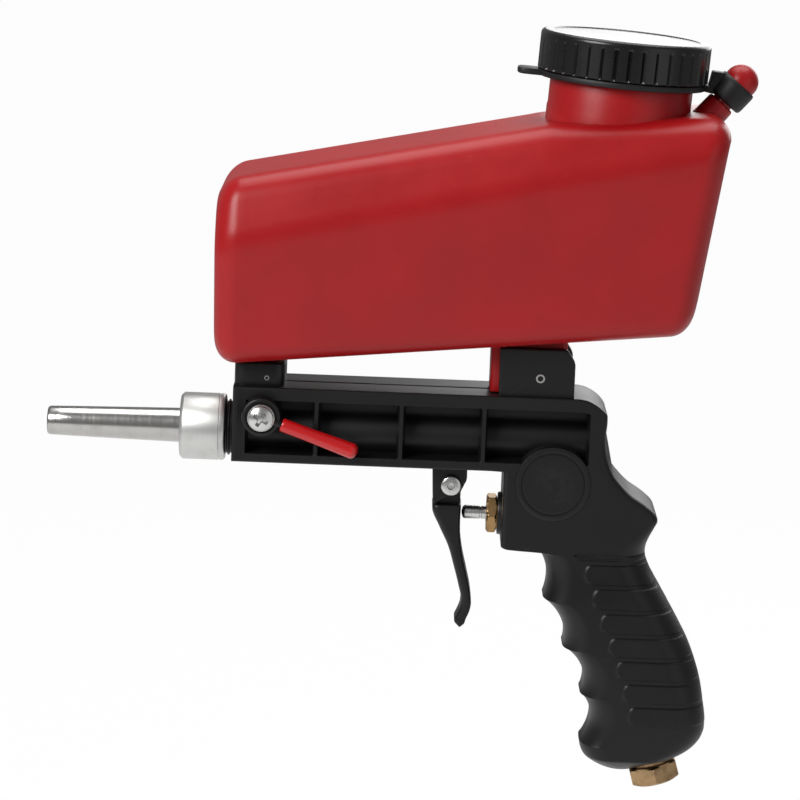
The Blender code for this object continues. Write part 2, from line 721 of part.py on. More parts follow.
def make_sand_valve(steel, black, vinyl, rubber):
    """The cross-drilled plug, its O-rings and clip, and the lever that turns it."""
    groove = 0.6 * MM
    groove_radius = PLUG_RADIUS - 1.2 * MM
    near, far = -BLOCK_HALF_WIDTH, BLOCK_HALF_WIDTH + CLIP_THICKNESS + 2 * GAP + 0.6 * MM
    half_groove = ORING_WIRE + 0.15 * MM
    profile = [(near, 0), (near, PLUG_RADIUS)]
    for offset in (-ORING_OFFSET, ORING_OFFSET):
        low, high = offset - half_groove, offset + half_groove
        profile += [(low, PLUG_RADIUS), (low, groove_radius), (high, groove_radius), (high, PLUG_RADIUS)]
    clip_low, clip_high = BLOCK_HALF_WIDTH, BLOCK_HALF_WIDTH + CLIP_THICKNESS + 2 * GAP
    profile += [(clip_low, PLUG_RADIUS), (clip_low, PLUG_RADIUS - groove)]
    profile += [(clip_high, PLUG_RADIUS - groove), (clip_high, PLUG_RADIUS), (far, PLUG_RADIUS), (far, 0)]
    centre_line = Vector((PLUG_CENTRE.x, 0, PLUG_CENTRE.z))
    plug = turned("sand_valve_plug", profile, centre_line, Y_AXIS, MEDIUM, steel)
    cross = rod(
        "plug_cross_hole", centre_line - Z_AXIS * (PLUG_RADIUS + REACH), Z_AXIS, 2 * (PLUG_RADIUS + REACH), SAND_RADIUS
    )
    tapped = rod(
        "plug_tapped_hole",
        centre_line + Y_AXIS * (near - REACH),
        Y_AXIS,
        REACH + LEVER_SCREW_GRIP + 0.6 * MM,
        LEVER_SCREW_RADIUS + GAP,
        16,
    )
    pivot(plug, centre_line)
    cut(plug, cross, tapped)
    ring_radius = groove_radius + GAP + ORING_WIRE
    for name, offset in (("plug_oring_near", -ORING_OFFSET), ("plug_oring_far", ORING_OFFSET)):
        ring = torus(name, centre_line + Y_AXIS * offset, Y_AXIS, ring_radius, ORING_WIRE, 16, 6, rubber)
        pivot(ring, centre_line)
    clip = sleeve(
        "plug_clip",
        centre_line + Y_AXIS * (clip_low + GAP),
        Y_AXIS,
        CLIP_THICKNESS,
        PLUG_RADIUS - groove + GAP,
        PLUG_RADIUS + 1.6 * MM,
        24,
        steel,
    )
    pivot(clip, centre_line)

    hub_inner = near - GAP
    hub_outer = hub_inner - LEVER_HUB_LENGTH
    chamfer = 0.6 * MM
    hole = LEVER_SCREW_RADIUS + GAP
    profile = [
        (hub_outer, hole),
        (hub_outer, LEVER_HUB_RADIUS - chamfer),
        (hub_outer + chamfer, LEVER_HUB_RADIUS),
        (hub_inner, LEVER_HUB_RADIUS),
        (hub_inner, hole),
    ]
    lever = turned("lever_arm", profile, centre_line, Y_AXIS, MEDIUM, black)
    along = Vector((math.cos(LEVER_ANGLE), 0, math.sin(LEVER_ANGLE)))
    rod_centre = centre_line + Y_AXIS * (near - GAP - SLEEVE_RADIUS - 0.4 * MM)
    rod_start = LEVER_HUB_RADIUS - 2 * MM
    sleeve_bottom = LEVER_LENGTH - SLEEVE_END
    arm = rod(
        "lever_rod", rod_centre + along * rod_start, along, sleeve_bottom - GAP - rod_start, LEVER_ROD_RADIUS, 16
    )
    pivot(lever, centre_line)
    join(lever, arm)
    bore = LEVER_ROD_RADIUS + GAP
    profile = [
        (LEVER_LENGTH, 0),
        (LEVER_LENGTH, SLEEVE_RADIUS - SLEEVE_END),
        (LEVER_LENGTH - SLEEVE_END, SLEEVE_RADIUS),
        (SLEEVE_START + SLEEVE_END, SLEEVE_RADIUS),
        (SLEEVE_START, SLEEVE_RADIUS - SLEEVE_END / 2),
        (SLEEVE_START, bore),
        (sleeve_bottom, bore),
        (sleeve_bottom, 0),
    ]
    grip_sleeve = turned("lever_sleeve", profile, rod_centre, along, 24, vinyl)
    pivot(grip_sleeve, centre_line)
    washer_outer = hub_outer - GAP
    washer = sleeve(
        "lever_washer",
        centre_line + Y_AXIS * (washer_outer - CLIP_THICKNESS),
        Y_AXIS,
        CLIP_THICKNESS,
        LEVER_SCREW_RADIUS + GAP,
        LEVER_SCREW_HEAD + 0.4 * MM,
        24,
        steel,
    )
    pivot(washer, centre_line)
    head_seat = washer_outer - CLIP_THICKNESS - GAP
    head = 2.2 * MM
    profile = [
        (near + LEVER_SCREW_GRIP, 0),
        (near + LEVER_SCREW_GRIP, LEVER_SCREW_RADIUS),
        (head_seat, LEVER_SCREW_RADIUS),
        (head_seat, LEVER_SCREW_HEAD),
        (head_seat - head * 0.5, LEVER_SCREW_HEAD * 0.95),
        (head_seat - head * 0.85, LEVER_SCREW_HEAD * 0.7),
        (head_seat - head, LEVER_SCREW_HEAD * 0.35),
        (head_seat - head, 0),
    ]
    screw = turned("lever_screw", profile, centre_line, Y_AXIS, 24, steel)
    pivot(screw, centre_line)


# --- Hopper ---------------------------------------------------------------------------------------------------


def hopper_rings(inset):
    """Six-sided sections of the hopper at its front, at the break in its top and at its rear."""
    rear_slope = (HOPPER_REAR_TOP - HOPPER_REAR_BOTTOM) / (HOPPER_REAR_HEIGHT - HOPPER_FLOOR)
    rings = []
    for station in (HOPPER_FRONT, HOPPER_BREAK_X, None):
        ring = []
        for kind in ("floor", "crease", "top"):
            x = station
            if station is None:
                guess = HOPPER_REAR_BOTTOM
                for _ in range(4):
                    guess = HOPPER_REAR_BOTTOM + rear_slope * (hopper_height(kind, guess) - HOPPER_FLOOR)
                x = guess - inset
            elif station == HOPPER_FRONT:
                x = station + inset
            z = hopper_height(kind, x) + {"floor": inset, "crease": 0, "top": -inset}[kind]
            half = {"floor": HALF_WIDTH_FLOOR, "crease": HALF_WIDTH_CREASE, "top": HALF_WIDTH_TOP}[kind] - inset
            ring.append((x, half, z))
        rings.append([(x, -half, z) for x, half, z in ring] + [(x, half, z) for x, half, z in reversed(ring)])
    return rings


def hopper_height(kind, x):
    """Height of the floor, of the side crease or of the top above the barrel axis at x."""
    if kind == "floor":
        return HOPPER_FLOOR + HOPPER_FLOOR_SLOPE * x
    if kind == "crease":
        return CREASE_HEIGHT + CREASE_SLOPE * x
    at_break = HOPPER_TOP + HOPPER_TOP_SLOPE * HOPPER_BREAK_X
    if x <= HOPPER_BREAK_X:
        return HOPPER_TOP + HOPPER_TOP_SLOPE * x
    share = (x - HOPPER_BREAK_X) / (HOPPER_REAR_TOP - HOPPER_BREAK_X)
    return at_break + (HOPPER_REAR_HEIGHT - at_break) * share


def hopper_shell(name, inset, rounding, segments, material=None):
    """A closed hopper shape this far inside the outer one, with rounded edges."""
    shell = lofted(name, hopper_rings(inset), material)
    bevel = shell.modifiers.new("rounding", "BEVEL")
    bevel.width = rounding
    bevel.segments = segments
    bevel.limit_method = "ANGLE"
    bevel.angle_limit = math.radians(20)
    return shell


def cap_axis():
    """Direction of the filler neck."""
    return Vector((math.sin(NECK_TILT), 0, math.cos(NECK_TILT)))


def filler_top():
    """Height of the filler neck's rim above the cap's base, along the neck."""
    return CAP_HEIGHT - CAP_TOP_WALL - 2 * GAP - LINER_THICKNESS


def spigot_low():
    """Height of the spigot's lower end, on its gasket."""
    return SPIGOT_SEAT + 2 * GAP + SEAL_THICKNESS


def make_hopper(material):
    """The hollow grit hopper with the post for the cap's tether, open at its filler and at its outlet."""
    hopper = hopper_shell("hopper", 0.0, HOPPER_ROUNDING, 3, material)
    axis = cap_axis()
    shaft_profile = [
        (-TETHER_SHAFT_LENGTH, 0),
        (-TETHER_SHAFT_LENGTH, TETHER_SHAFT_RADIUS),
        (-TETHER_LOOP_DROP - TETHER_LOOP_HEIGHT / 2 - GAP, TETHER_SHAFT_RADIUS),
        (-TETHER_LOOP_DROP - TETHER_LOOP_HEIGHT / 2 - GAP, TETHER_GROOVE_RADIUS),
        (0, TETHER_GROOVE_RADIUS),
        (0, 0),
    ]
    shaft = turned("tether_shaft", shaft_profile, TETHER_BALL, TETHER_POST_AXIS, 24)
    head = ball("tether_ball", TETHER_BALL, TETHER_BALL_RADIUS, 24)
    join(hopper, shaft, head)
    inside = hopper_shell("hopper_inside", HOPPER_WALL, HOPPER_ROUNDING - HOPPER_WALL, 2)
    filler_room = rod(
        "filler_room", CAP_BASE - axis * FILLER_DEPTH, axis, FILLER_DEPTH + CAP_HEIGHT, FILLER_RADIUS + GAP, FINE
    )
    outlet_room = rod(
        "outlet_room",
        (PLUG_CENTRE.x, 0, spigot_low()),
        Z_AXIS,
        HOPPER_FLOOR + 2 * HOPPER_WALL + REACH - spigot_low(),
        SPIGOT_RADIUS + GAP,
    )
    cut(hopper, inside, filler_room, outlet_room)
    return hopper


def make_hopper_mouldings(material):
    """The filler neck, the outlet spigot and the rear foot, which are welded to the hopper."""
    axis = cap_axis()
    sleeve(
        "filler_neck",
        CAP_BASE - axis * FILLER_SEAT,
        axis,
        FILLER_SEAT + filler_top(),
        FILLER_BORE,
        FILLER_RADIUS,
        FINE,
        material,
    )
    low = spigot_low()
    spigot_top = hopper_height("floor", PLUG_CENTRE.x) + HOPPER_WALL
    spigot = sleeve(
        "outlet_spigot", (PLUG_CENTRE.x, 0, low), Z_AXIS, spigot_top - low, SAND_RADIUS, SPIGOT_RADIUS, COARSE, material
    )
    foot_low = BLOCK_TOP + GAP
    outline = [
        (FOOT_FRONT, foot_low),
        (FOOT_REAR, foot_low),
        (FOOT_REAR, hopper_height("floor", FOOT_REAR) - GAP),
        (FOOT_FRONT, hopper_height("floor", FOOT_FRONT) - GAP),
    ]
    foot = prism("hopper_foot", outline, -CHEEK_INNER + GAP, CHEEK_INNER - GAP, material)
    pin_reach = POST_HALF_WIDTH + REACH
    front_way = rod(
        "spigot_pin_way", FRONT_PIN - Y_AXIS * pin_reach, Y_AXIS, 2 * pin_reach, FRONT_PIN_RADIUS + GAP, 12
    )
    rear_way = rod(
        "foot_pin_way", REAR_PIN - Y_AXIS * pin_reach, Y_AXIS, 2 * pin_reach, REAR_PIN_RADIUS + GAP, 16
    )
    cut(spigot, front_way)
    cut(foot, rear_way)


def make_hopper_fixings(steel, rubber):
    """The pins that hold the hopper's two feet and the washer under its spigot."""
    sleeve(
        "hopper_gasket",
        (PLUG_CENTRE.x, 0, SPIGOT_SEAT + GAP),
        Z_AXIS,
        SEAL_THICKNESS,
        SAND_RADIUS + GAP,
        SPIGOT_RADIUS,
        COARSE,
        rubber,
    )
    outer = POST_HALF_WIDTH - 0.1 * MM
    near = FRONT_PIN - Y_AXIS * outer
    far = FRONT_PIN + Y_AXIS * outer
    rod("hopper_front_pin_near", near, Y_AXIS, FRONT_PIN_LENGTH, FRONT_PIN_RADIUS, 12, steel)
    rod("hopper_front_pin_far", far, -Y_AXIS, FRONT_PIN_LENGTH, FRONT_PIN_RADIUS, 12, steel)
    half = CHEEK_OUTER - 0.1 * MM
    rod("hopper_rear_pin", REAR_PIN - Y_AXIS * half, Y_AXIS, 2 * half, REAR_PIN_RADIUS, 16, steel)


def make_cap(black, rubber):
    """The screw cap, its liner, the ring that it turns in and the strap that ties the ring to the post."""
    axis = cap_axis()
    bore = FILLER_RADIUS + CAP_THREAD_GAP
    low, high, chamfer = RING_THICKNESS + GAP, CAP_HEIGHT, 1 * MM
    ceiling = high - CAP_TOP_WALL
    profile = [
        (high, 0),
        (high, CAP_RADIUS - chamfer),
        (high - chamfer, CAP_RADIUS),
        (low, CAP_RADIUS),
        (low, bore),
        (ceiling, bore),
        (ceiling, 0),
    ]
    cap = turned("hopper_cap", profile, CAP_BASE, axis, FINE, black)
    pivot(cap, CAP_BASE)
    liner_low = filler_top() + GAP
    liner = rod(
        "cap_liner", CAP_BASE + axis * liner_low, axis, LINER_THICKNESS, FILLER_RADIUS - GAP, MEDIUM, rubber
    )
    pivot(liner, CAP_BASE)
    ring = sleeve("tether_ring", CAP_BASE, axis, RING_THICKNESS, bore, RING_RADIUS, FINE, rubber)
    pivot(ring, CAP_BASE)
    tilt = Matrix.Translation(CAP_BASE) @ Matrix.Rotation(NECK_TILT, 4, "Y")
    tab = block(
        "pull_tab",
        (-TAB_REACH, -TAB_WIDTH / 2, 0.1 * MM),
        (-RING_RADIUS + 1.5 * MM, TAB_WIDTH / 2, RING_THICKNESS - 0.1 * MM),
    )
    tab.data.transform(tilt)
    join(ring, tab)

    loop_centre = TETHER_BALL - TETHER_POST_AXIS * TETHER_LOOP_DROP
    strap = rod(
        "tether_strap",
        loop_centre - TETHER_POST_AXIS * TETHER_LOOP_HEIGHT / 2,
        TETHER_POST_AXIS,
        TETHER_LOOP_HEIGHT,
        TETHER_LOOP_RADIUS,
        MEDIUM,
        rubber,
    )
    bridge = block(
        "strap_bridge",
        (CAP_RADIUS - REACH, -STRAP_WIDTH / 2, -0.1 * MM),
        (CAP_RADIUS + 5.5 * MM, STRAP_WIDTH / 2, STRAP_HEIGHT - 0.1 * MM),
    )
    bridge.data.transform(tilt)
    join(strap, bridge)
    loop_hole = rod(
        "loop_hole",
        loop_centre - TETHER_POST_AXIS * TETHER_LOOP_HEIGHT,
        TETHER_POST_AXIS,
        2 * TETHER_LOOP_HEIGHT,
        TETHER_GROOVE_RADIUS + GAP,
        MEDIUM,
    )
    ball_room = ball("ball_room", TETHER_BALL, TETHER_BALL_RADIUS + GAP, 24)
    cap_room = rod(
        "cap_room",
        CAP_BASE - axis * 3 * REACH,
        axis,
        CAP_HEIGHT + 6 * REACH,
        CAP_RADIUS + GAP + 0.1 * MM,
        FINE,
    )
    shaft_room = rod(
        "shaft_room",
        TETHER_BALL - TETHER_POST_AXIS * (TETHER_LOOP_DROP + TETHER_LOOP_HEIGHT / 2),
        -TETHER_POST_AXIS,
        4 * REACH,
        TETHER_SHAFT_RADIUS + GAP,
        24,
    )
    cut(strap, loop_hole, ball_room, cap_room, shaft_room)


# --- Trigger and air valve ------------------------------------------------------------------------------------


def make_trigger(black, steel):
    """The trigger lever, its pin and the clip on the pin's far end."""
    finger = curved_outline(
        [
            (67.4, -22.9, 0),
            (67.2, -24.6, 0),
            (73.2, -37.0, -0.7),
            (78.4, -55.0, -0.2),
            (77.4, -60.1, 0),
            (76.2, -62.2, 0.5),
            (77.7, -64.8, 0),
            (79.3, -64.2, 0.1),
            (81.8, -57.3, 0.4),
            (79.7, -46.0, 0.7),
            (77.0, -34.0, 0),
            (77.0, -19.6, 0),
        ]
    )
    trigger = prism("trigger", finger, -FINGER_HALF_WIDTH, FINGER_HALF_WIDTH, black)
    pivot(trigger, TRIGGER_PIN)
    half = EAR_INNER - GAP
    eye = rod("trigger_eye", TRIGGER_PIN - Y_AXIS * half, Y_AXIS, 2 * half, TONGUE_RADIUS, MEDIUM)
    tongue_outline = [(69.2 * MM, -30 * MM), (76 * MM, -30 * MM), (76.2 * MM, -16 * MM), (70 * MM, -16 * MM)]
    tongue = prism("trigger_tongue", tongue_outline, -half + 0.05 * MM, half - 0.05 * MM)
    join(trigger, tongue, eye)
    reach = half + REACH
    hole = rod("trigger_hole", TRIGGER_PIN - Y_AXIS * reach, Y_AXIS, 2 * reach, TRIGGER_PIN_RADIUS + GAP, 16)
    cut(trigger, hole)
    head_inner = -EAR_OUTER - GAP
    far_face = EAR_OUTER + GAP
    groove_end = far_face + CLIP_THICKNESS + GAP
    pin_end = groove_end + 0.7 * MM
    groove_radius = TRIGGER_PIN_RADIUS - 0.5 * MM
    profile = [
        (head_inner - TRIGGER_PIN_HEAD_LENGTH, 0),
        (head_inner - TRIGGER_PIN_HEAD_LENGTH, TRIGGER_PIN_HEAD - 0.7 * MM),
        (head_inner - TRIGGER_PIN_HEAD_LENGTH / 2, TRIGGER_PIN_HEAD),
        (head_inner, TRIGGER_PIN_HEAD),
        (head_inner, TRIGGER_PIN_RADIUS),
        (far_face - GAP, TRIGGER_PIN_RADIUS),
        (far_face - GAP, groove_radius),
        (groove_end, groove_radius),
        (groove_end, TRIGGER_PIN_RADIUS),
        (pin_end, TRIGGER_PIN_RADIUS),
        (pin_end, 0),
    ]
    turned("trigger_pin", profile, TRIGGER_PIN, Y_AXIS, 24, steel)
    sleeve(
        "trigger_pin_clip",
        TRIGGER_PIN + Y_AXIS * far_face,
        Y_AXIS,
        CLIP_THICKNESS,
        groove_radius + GAP,
        TRIGGER_PIN_RADIUS + 1.5 * MM,
        24,
        steel,
    )


def make_air_valve(brass, steel, rubber):
    """Gland nut, stem with its poppet, stem seal, valve seat and return spring."""
    centre = Vector((0, 0, VALVE_HEIGHT))
    hex_rear = HAND_BLOCK_FRONT - BOSS_HEIGHT - GAP
    gland = hexagon("gland_nut", centre + X_AXIS * hex_rear, -X_AXIS, GLAND_HEX_LENGTH, GLAND_HEX, brass)
    shank = rod("gland_shank", centre + X_AXIS * (hex_rear - REACH), X_AXIS, GLAND_SHANK + REACH, VALVE_BORE - GAP)
    hole = rod(
        "gland_hole",
        centre + X_AXIS * (hex_rear - GLAND_HEX_LENGTH - REACH),
        X_AXIS,
        GLAND_HEX_LENGTH + GLAND_SHANK + 3 * REACH,
        STEM_RADIUS + GAP,
    )
    join(gland, shank)
    cut(gland, hole)
    shank_end = hex_rear + GLAND_SHANK
    sleeve(
        "stem_seal",
        centre + X_AXIS * (shank_end + GAP),
        X_AXIS,
        STEM_SEAL_LENGTH,
        STEM_RADIUS + GAP,
        VALVE_BORE - GAP,
        COARSE,
        rubber,
    )
    sleeve(
        "valve_seat", centre + X_AXIS * SEAT_X, X_AXIS, SEAT_LENGTH, SEAT_HOLE, VALVE_BORE - GAP, COARSE, brass
    )
    poppet_front = SEAT_X + SEAT_LENGTH + GAP
    poppet_rear = poppet_front + POPPET_LENGTH
    dome = 1.2 * MM
    profile = [
        (STEM_FRONT, 0),
        (STEM_FRONT + dome * 0.25, STEM_RADIUS * 0.6),
        (STEM_FRONT + dome, STEM_RADIUS),
        (poppet_front, STEM_RADIUS),
        (poppet_front, POPPET_RADIUS),
        (poppet_rear, POPPET_RADIUS),
        (poppet_rear, TAIL_RADIUS),
        (poppet_rear + TAIL_LENGTH, TAIL_RADIUS),
        (poppet_rear + TAIL_LENGTH, 0),
    ]
    turned("valve_stem", profile, centre, X_AXIS, COARSE, steel)
    make_spring("valve_spring", poppet_rear + GAP + SPRING_WIRE, VALVE_DEPTH - SPRING_END_GAP, steel)


def make_spring(name, start, end, material):
    """A round-wire compression spring: a polygon carried along a helix about the valve's axis."""
    steps, sides = 10 * SPRING_TURNS, 5
    pitch = (end - start) / math.tau / SPRING_TURNS
    lean = math.atan2(pitch, SPRING_RADIUS)
    rings = []
    for step in range(steps + 1):
        angle = math.tau * SPRING_TURNS * step / steps
        radial = Vector((0, math.cos(angle), math.sin(angle)))
        around = Vector((0, -math.sin(angle), math.cos(angle)))
        across = X_AXIS * math.cos(lean) - around * math.sin(lean)
        centre = Vector((start + pitch * angle, 0, VALVE_HEIGHT)) + radial * SPRING_RADIUS
        rings.append(
            [
                centre + SPRING_WIRE * (radial * math.cos(turn) + across * math.sin(turn))
                for turn in (math.tau * side / sides for side in range(sides))
            ]
        )
    return lofted(name, rings, material)


def make_inlet(brass):
    """The brass inlet fitting: a hexagon under the grip, a shank inside it and a bore right through."""
    fitting = hexagon("inlet_fitting", INLET_BASE, INLET_AXIS, INLET_HEX_LENGTH, INLET_HEX, brass)
    shank = rod(
        "inlet_shank", INLET_BASE + INLET_AXIS * REACH, -INLET_AXIS, INLET_SHANK_LENGTH + REACH, INLET_SHANK_RADIUS
    )
    bore = rod(
        "inlet_bore",
        INLET_BASE + INLET_AXIS * (INLET_HEX_LENGTH + REACH),
        -INLET_AXIS,
        INLET_HEX_LENGTH + INLET_SHANK_LENGTH + 3 * REACH,
        INLET_BORE,
        MEDIUM,
    )
    join(fitting, shank)
    cut(fitting, bore)


# --- Assembly -------------------------------------------------------------------------------------------------


def main():
    """Clears the scene, makes every piece and hangs them all on the gun frame."""
    for obj in list(bpy.data.objects):
        bpy.data.objects.remove(obj, do_unlink=True)

    body_black = make_material("body_black", (0.014, 0.014, 0.015), 0.5)
    cap_black = make_material("cap_black", (0.012, 0.012, 0.013), 0.35)
    hopper_red = make_material("hopper_red", (0.42, 0.012, 0.016), 0.4)
    vinyl_red = make_material("vinyl_red", (0.5, 0.01, 0.01), 0.35)
    seal_black = make_material("seal_black", (0.02, 0.02, 0.02), 0.7)
    steel = make_material("steel", (0.6, 0.6, 0.6), 0.25, 1.0)
    aluminium = make_material("aluminium", (0.68, 0.68, 0.66), 0.4, 1.0)
    brass = make_material("brass", (0.7, 0.52, 0.25), 0.35, 1.0)

    make_gun_body(body_black)
    make_nozzle_parts(steel, aluminium, seal_black)
    make_air_parts(brass)
    make_sand_valve(steel, body_black, vinyl_red, seal_black)
    make_hopper(hopper_red)
    make_hopper_mouldings(hopper_red)
    make_hopper_fixings(steel, seal_black)
    make_cap(cap_black, seal_black)
    make_trigger(body_black, steel)
    make_air_valve(brass, steel, seal_black)
    make_inlet(brass)

    frame = bpy.data.objects.new("gun_frame", None)
    frame.location = -GRIP_CENTRE
    bpy.context.scene.collection.objects.link(frame)
    for obj in bpy.data.objects:
        if obj is not frame:
            obj.parent = frame


main()
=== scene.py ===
"""Studio scene of a hand-held gravity-feed sandblasting gun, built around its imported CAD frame.

Every surface is worked out with numpy in barrel axes: millimetres, with the origin at the centre of the
barrel block's front face, +X towards the grip, +Y away from the lever side and +Z up. The datum read from the
frame carries them to the frame's metres. A surface is a grid of rings: each row is a closed loop of points.
"""

import logging
import math
from dataclasses import dataclass, field
from enum import Enum
from typing import Callable

import bpy
import numpy as np
from mathutils import Matrix, Vector


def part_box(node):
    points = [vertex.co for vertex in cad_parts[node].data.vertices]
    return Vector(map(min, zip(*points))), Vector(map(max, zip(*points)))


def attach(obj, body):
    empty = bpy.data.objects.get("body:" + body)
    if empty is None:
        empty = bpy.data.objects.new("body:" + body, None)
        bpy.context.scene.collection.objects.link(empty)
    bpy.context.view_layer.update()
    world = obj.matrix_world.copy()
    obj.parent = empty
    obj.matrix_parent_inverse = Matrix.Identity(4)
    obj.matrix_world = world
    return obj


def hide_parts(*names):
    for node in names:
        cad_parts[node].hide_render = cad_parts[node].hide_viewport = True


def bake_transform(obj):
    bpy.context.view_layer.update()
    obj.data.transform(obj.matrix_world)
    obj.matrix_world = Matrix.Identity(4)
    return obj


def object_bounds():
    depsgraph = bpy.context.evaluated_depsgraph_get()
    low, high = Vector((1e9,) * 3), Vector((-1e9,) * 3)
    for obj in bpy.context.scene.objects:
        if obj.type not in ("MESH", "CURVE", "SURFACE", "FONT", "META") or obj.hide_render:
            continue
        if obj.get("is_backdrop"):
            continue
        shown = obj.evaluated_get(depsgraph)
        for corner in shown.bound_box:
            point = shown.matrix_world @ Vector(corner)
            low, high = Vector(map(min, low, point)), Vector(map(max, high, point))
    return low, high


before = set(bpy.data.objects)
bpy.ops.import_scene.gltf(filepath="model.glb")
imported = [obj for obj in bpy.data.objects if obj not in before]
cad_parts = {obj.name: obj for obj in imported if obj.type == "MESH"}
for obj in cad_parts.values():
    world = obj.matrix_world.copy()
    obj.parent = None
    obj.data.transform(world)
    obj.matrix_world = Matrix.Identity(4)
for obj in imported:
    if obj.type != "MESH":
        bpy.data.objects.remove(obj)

LOG = logging.getLogger("sandblasting_gun")
MM = 0.001
TAU = math.tau
Array = np.ndarray
Pair = tuple[float, float]
Triple = tuple[float, float, float]


class Part(Enum):
    """The moving bodies that pieces ride on."""

    GUN = "gun"
    TRIGGER = "trigger"
    AIR_VALVE = "air_valve"
    SAND_VALVE = "sand_valve"
    CAP_RING = "cap_ring"
    CAP = "cap"
    NOZZLE = "nozzle"
    NUT = "nut"


class Slot(Enum):
    """The record's material slots."""

    BODY = "body_black"
    HOPPER = "hopper_red"
    VINYL = "vinyl_red"
    CAP = "cap_black"
    TETHER = "tether_rubber"
    SEAL = "seal_rubber"
    STEEL = "nozzle_steel"
    ALUMINIUM = "nut_aluminium"
    BRASS = "brass"
    PIN = "pin_steel"


# --- Places read from the frame ---------------------------------------------------------------------------


@dataclass(frozen=True)
class Datum:
    """Carries barrel axes to the frame.

    Attributes:
        x: The barrel block's front face in the frame, in millimetres.
        z: The barrel's centre line in the frame, in millimetres.
    """

    x: float
    z: float

    @classmethod
    def from_frame(cls, thread_in_sight: float = 2.7) -> "Datum":
        """Finds the barrel from the nozzle nut's box.

        Args:
            thread_in_sight: Length of thread between the nut and the block.

        Returns:
            The datum of this gun.
        """
        low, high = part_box("nozzle_nut")
        return cls(high.x / MM + thread_in_sight, (low.z + high.z) / 2 / MM)

    def place(self, points: Array) -> Array:
        """Barrel-axes millimetres as the frame's metres."""
        return (np.asarray(points, float) + (self.x, 0.0, self.z)) * MM

    def spot(self, point: Triple) -> Triple:
        """One point in the frame's metres, as plain numbers."""
        return tuple(float(value) for value in self.place(np.array(point)))


DATUM = Datum.from_frame()


# --- Curves and grids -------------------------------------------------------------------------------------


def step(value: Array, start: float, end: float) -> Array:
    """Smooth step: 0 before start, 1 after end, and 3t^2 - 2t^3 between them."""
    t = np.clip((value - start) / (end - start), 0.0, 1.0)
    return t * t * (3.0 - 2.0 * t)


def smooth_curve(at: Array, knots: Array) -> Array:
    """Cubic curve through knots of (place, value), with each knot's slope taken from its neighbours.

    Args:
        at: Places to evaluate, in any order.
        knots: Rows of place and value, by rising place.

    Returns:
        The curve's values: cubic Hermite pieces, held at the end values outside the knots.
    """
    places, values = np.asarray(knots, float).T
    slopes = np.gradient(values, places)
    at = np.clip(at, places[0], places[-1])
    k = np.clip(np.searchsorted(places, at) - 1, 0, len(places) - 2)
    width = places[k + 1] - places[k]
    t = (at - places[k]) / width
    rise = (2 * t**3 - 3 * t**2 + 1) * values[k] + (3 * t**2 - 2 * t**3) * values[k + 1]
    lean = (t**3 - 2 * t**2 + t) * slopes[k] + (t**3 - t**2) * slopes[k + 1]
    return rise + lean * width


def fillet(corners: Array, radius: Array | float, steps: int = 5, closed: bool = True) -> Array:
    """Rounds the corners of a polyline with parabolic arcs.

    Each corner C becomes (1-t)^2 A + 2t(1-t) C + t^2 B, where A and B lie a radius before and after it, but
    never past the middle of a side.

    Args:
        corners: Points, with the corner number on the last axis but one.
        radius: One radius, or one for each corner.
        steps: Points on each arc, less one.
        closed: Whether the last corner is followed by the first.

    Returns:
        The rounded points on the same axes, with steps + 1 for each corner.
    """
    corners = np.asarray(corners, float)
    before = np.roll(corners, 1, axis=-2) - corners
    after = np.roll(corners, -1, axis=-2) - corners
    reach = np.broadcast_to(np.asarray(radius, float), corners.shape[:-1])[..., None].copy()
    if not closed:
        reach[..., [0, -1], :] = 0.0
    long_before = np.maximum(np.linalg.norm(before, axis=-1, keepdims=True), 1e-9)
    long_after = np.maximum(np.linalg.norm(after, axis=-1, keepdims=True), 1e-9)
    start = corners + before / long_before * np.minimum(reach, long_before * 0.48)
    end = corners + after / long_after * np.minimum(reach, long_after * 0.48)
    t = np.linspace(0.0, 1.0, steps + 1)[:, None]
    first, middle, last = (points[..., None, :] for points in (start, corners, end))
    arcs = (1 - t) ** 2 * first + 2 * t * (1 - t) * middle + t**2 * last
    return arcs.reshape(*corners.shape[:-2], -1, corners.shape[-1])


def crowded(
    low: float, high: float, spacing: float, edges: tuple[float, ...] = (), reach: float = 0.6
) -> Array:
    """Stations from low to high at an even spacing, with extra ones crowded about each edge.

    Args:
        low: First station.
        high: Last station.
        spacing: Even spacing.
        edges: Places that need sharp detail.
        reach: How far the extra stations run on both sides of an edge.

    Returns:
        Rising stations, none closer together than 0.04.
    """
    even = np.linspace(low, high, max(2, int(round((high - low) / spacing)) + 1))
    extra = (np.array(edges)[:, None] + np.linspace(-reach, reach, 9)[None, :]).ravel() if edges else even[:0]
    merged = np.unique(np.round(np.concatenate([even, extra[(extra > low) & (extra < high)]]), 4))
    keep = np.concatenate([[True], np.diff(merged) > 0.04])
    keep[-1] = True
    return merged[keep]


def basis(axis: Triple) -> tuple[Array, Array, Array]:
    """Three unit vectors: the axis, and two across it that make a right-handed set with it."""
    along = np.array(axis, float) / np.linalg.norm(axis)
    guide = np.array((0.0, 0.0, 1.0)) if abs(along[2]) < 0.9 else np.array((1.0, 0.0, 0.0))
    across = np.cross(guide, along)
    across /= np.linalg.norm(across)
    return along, across, np.cross(along, across)


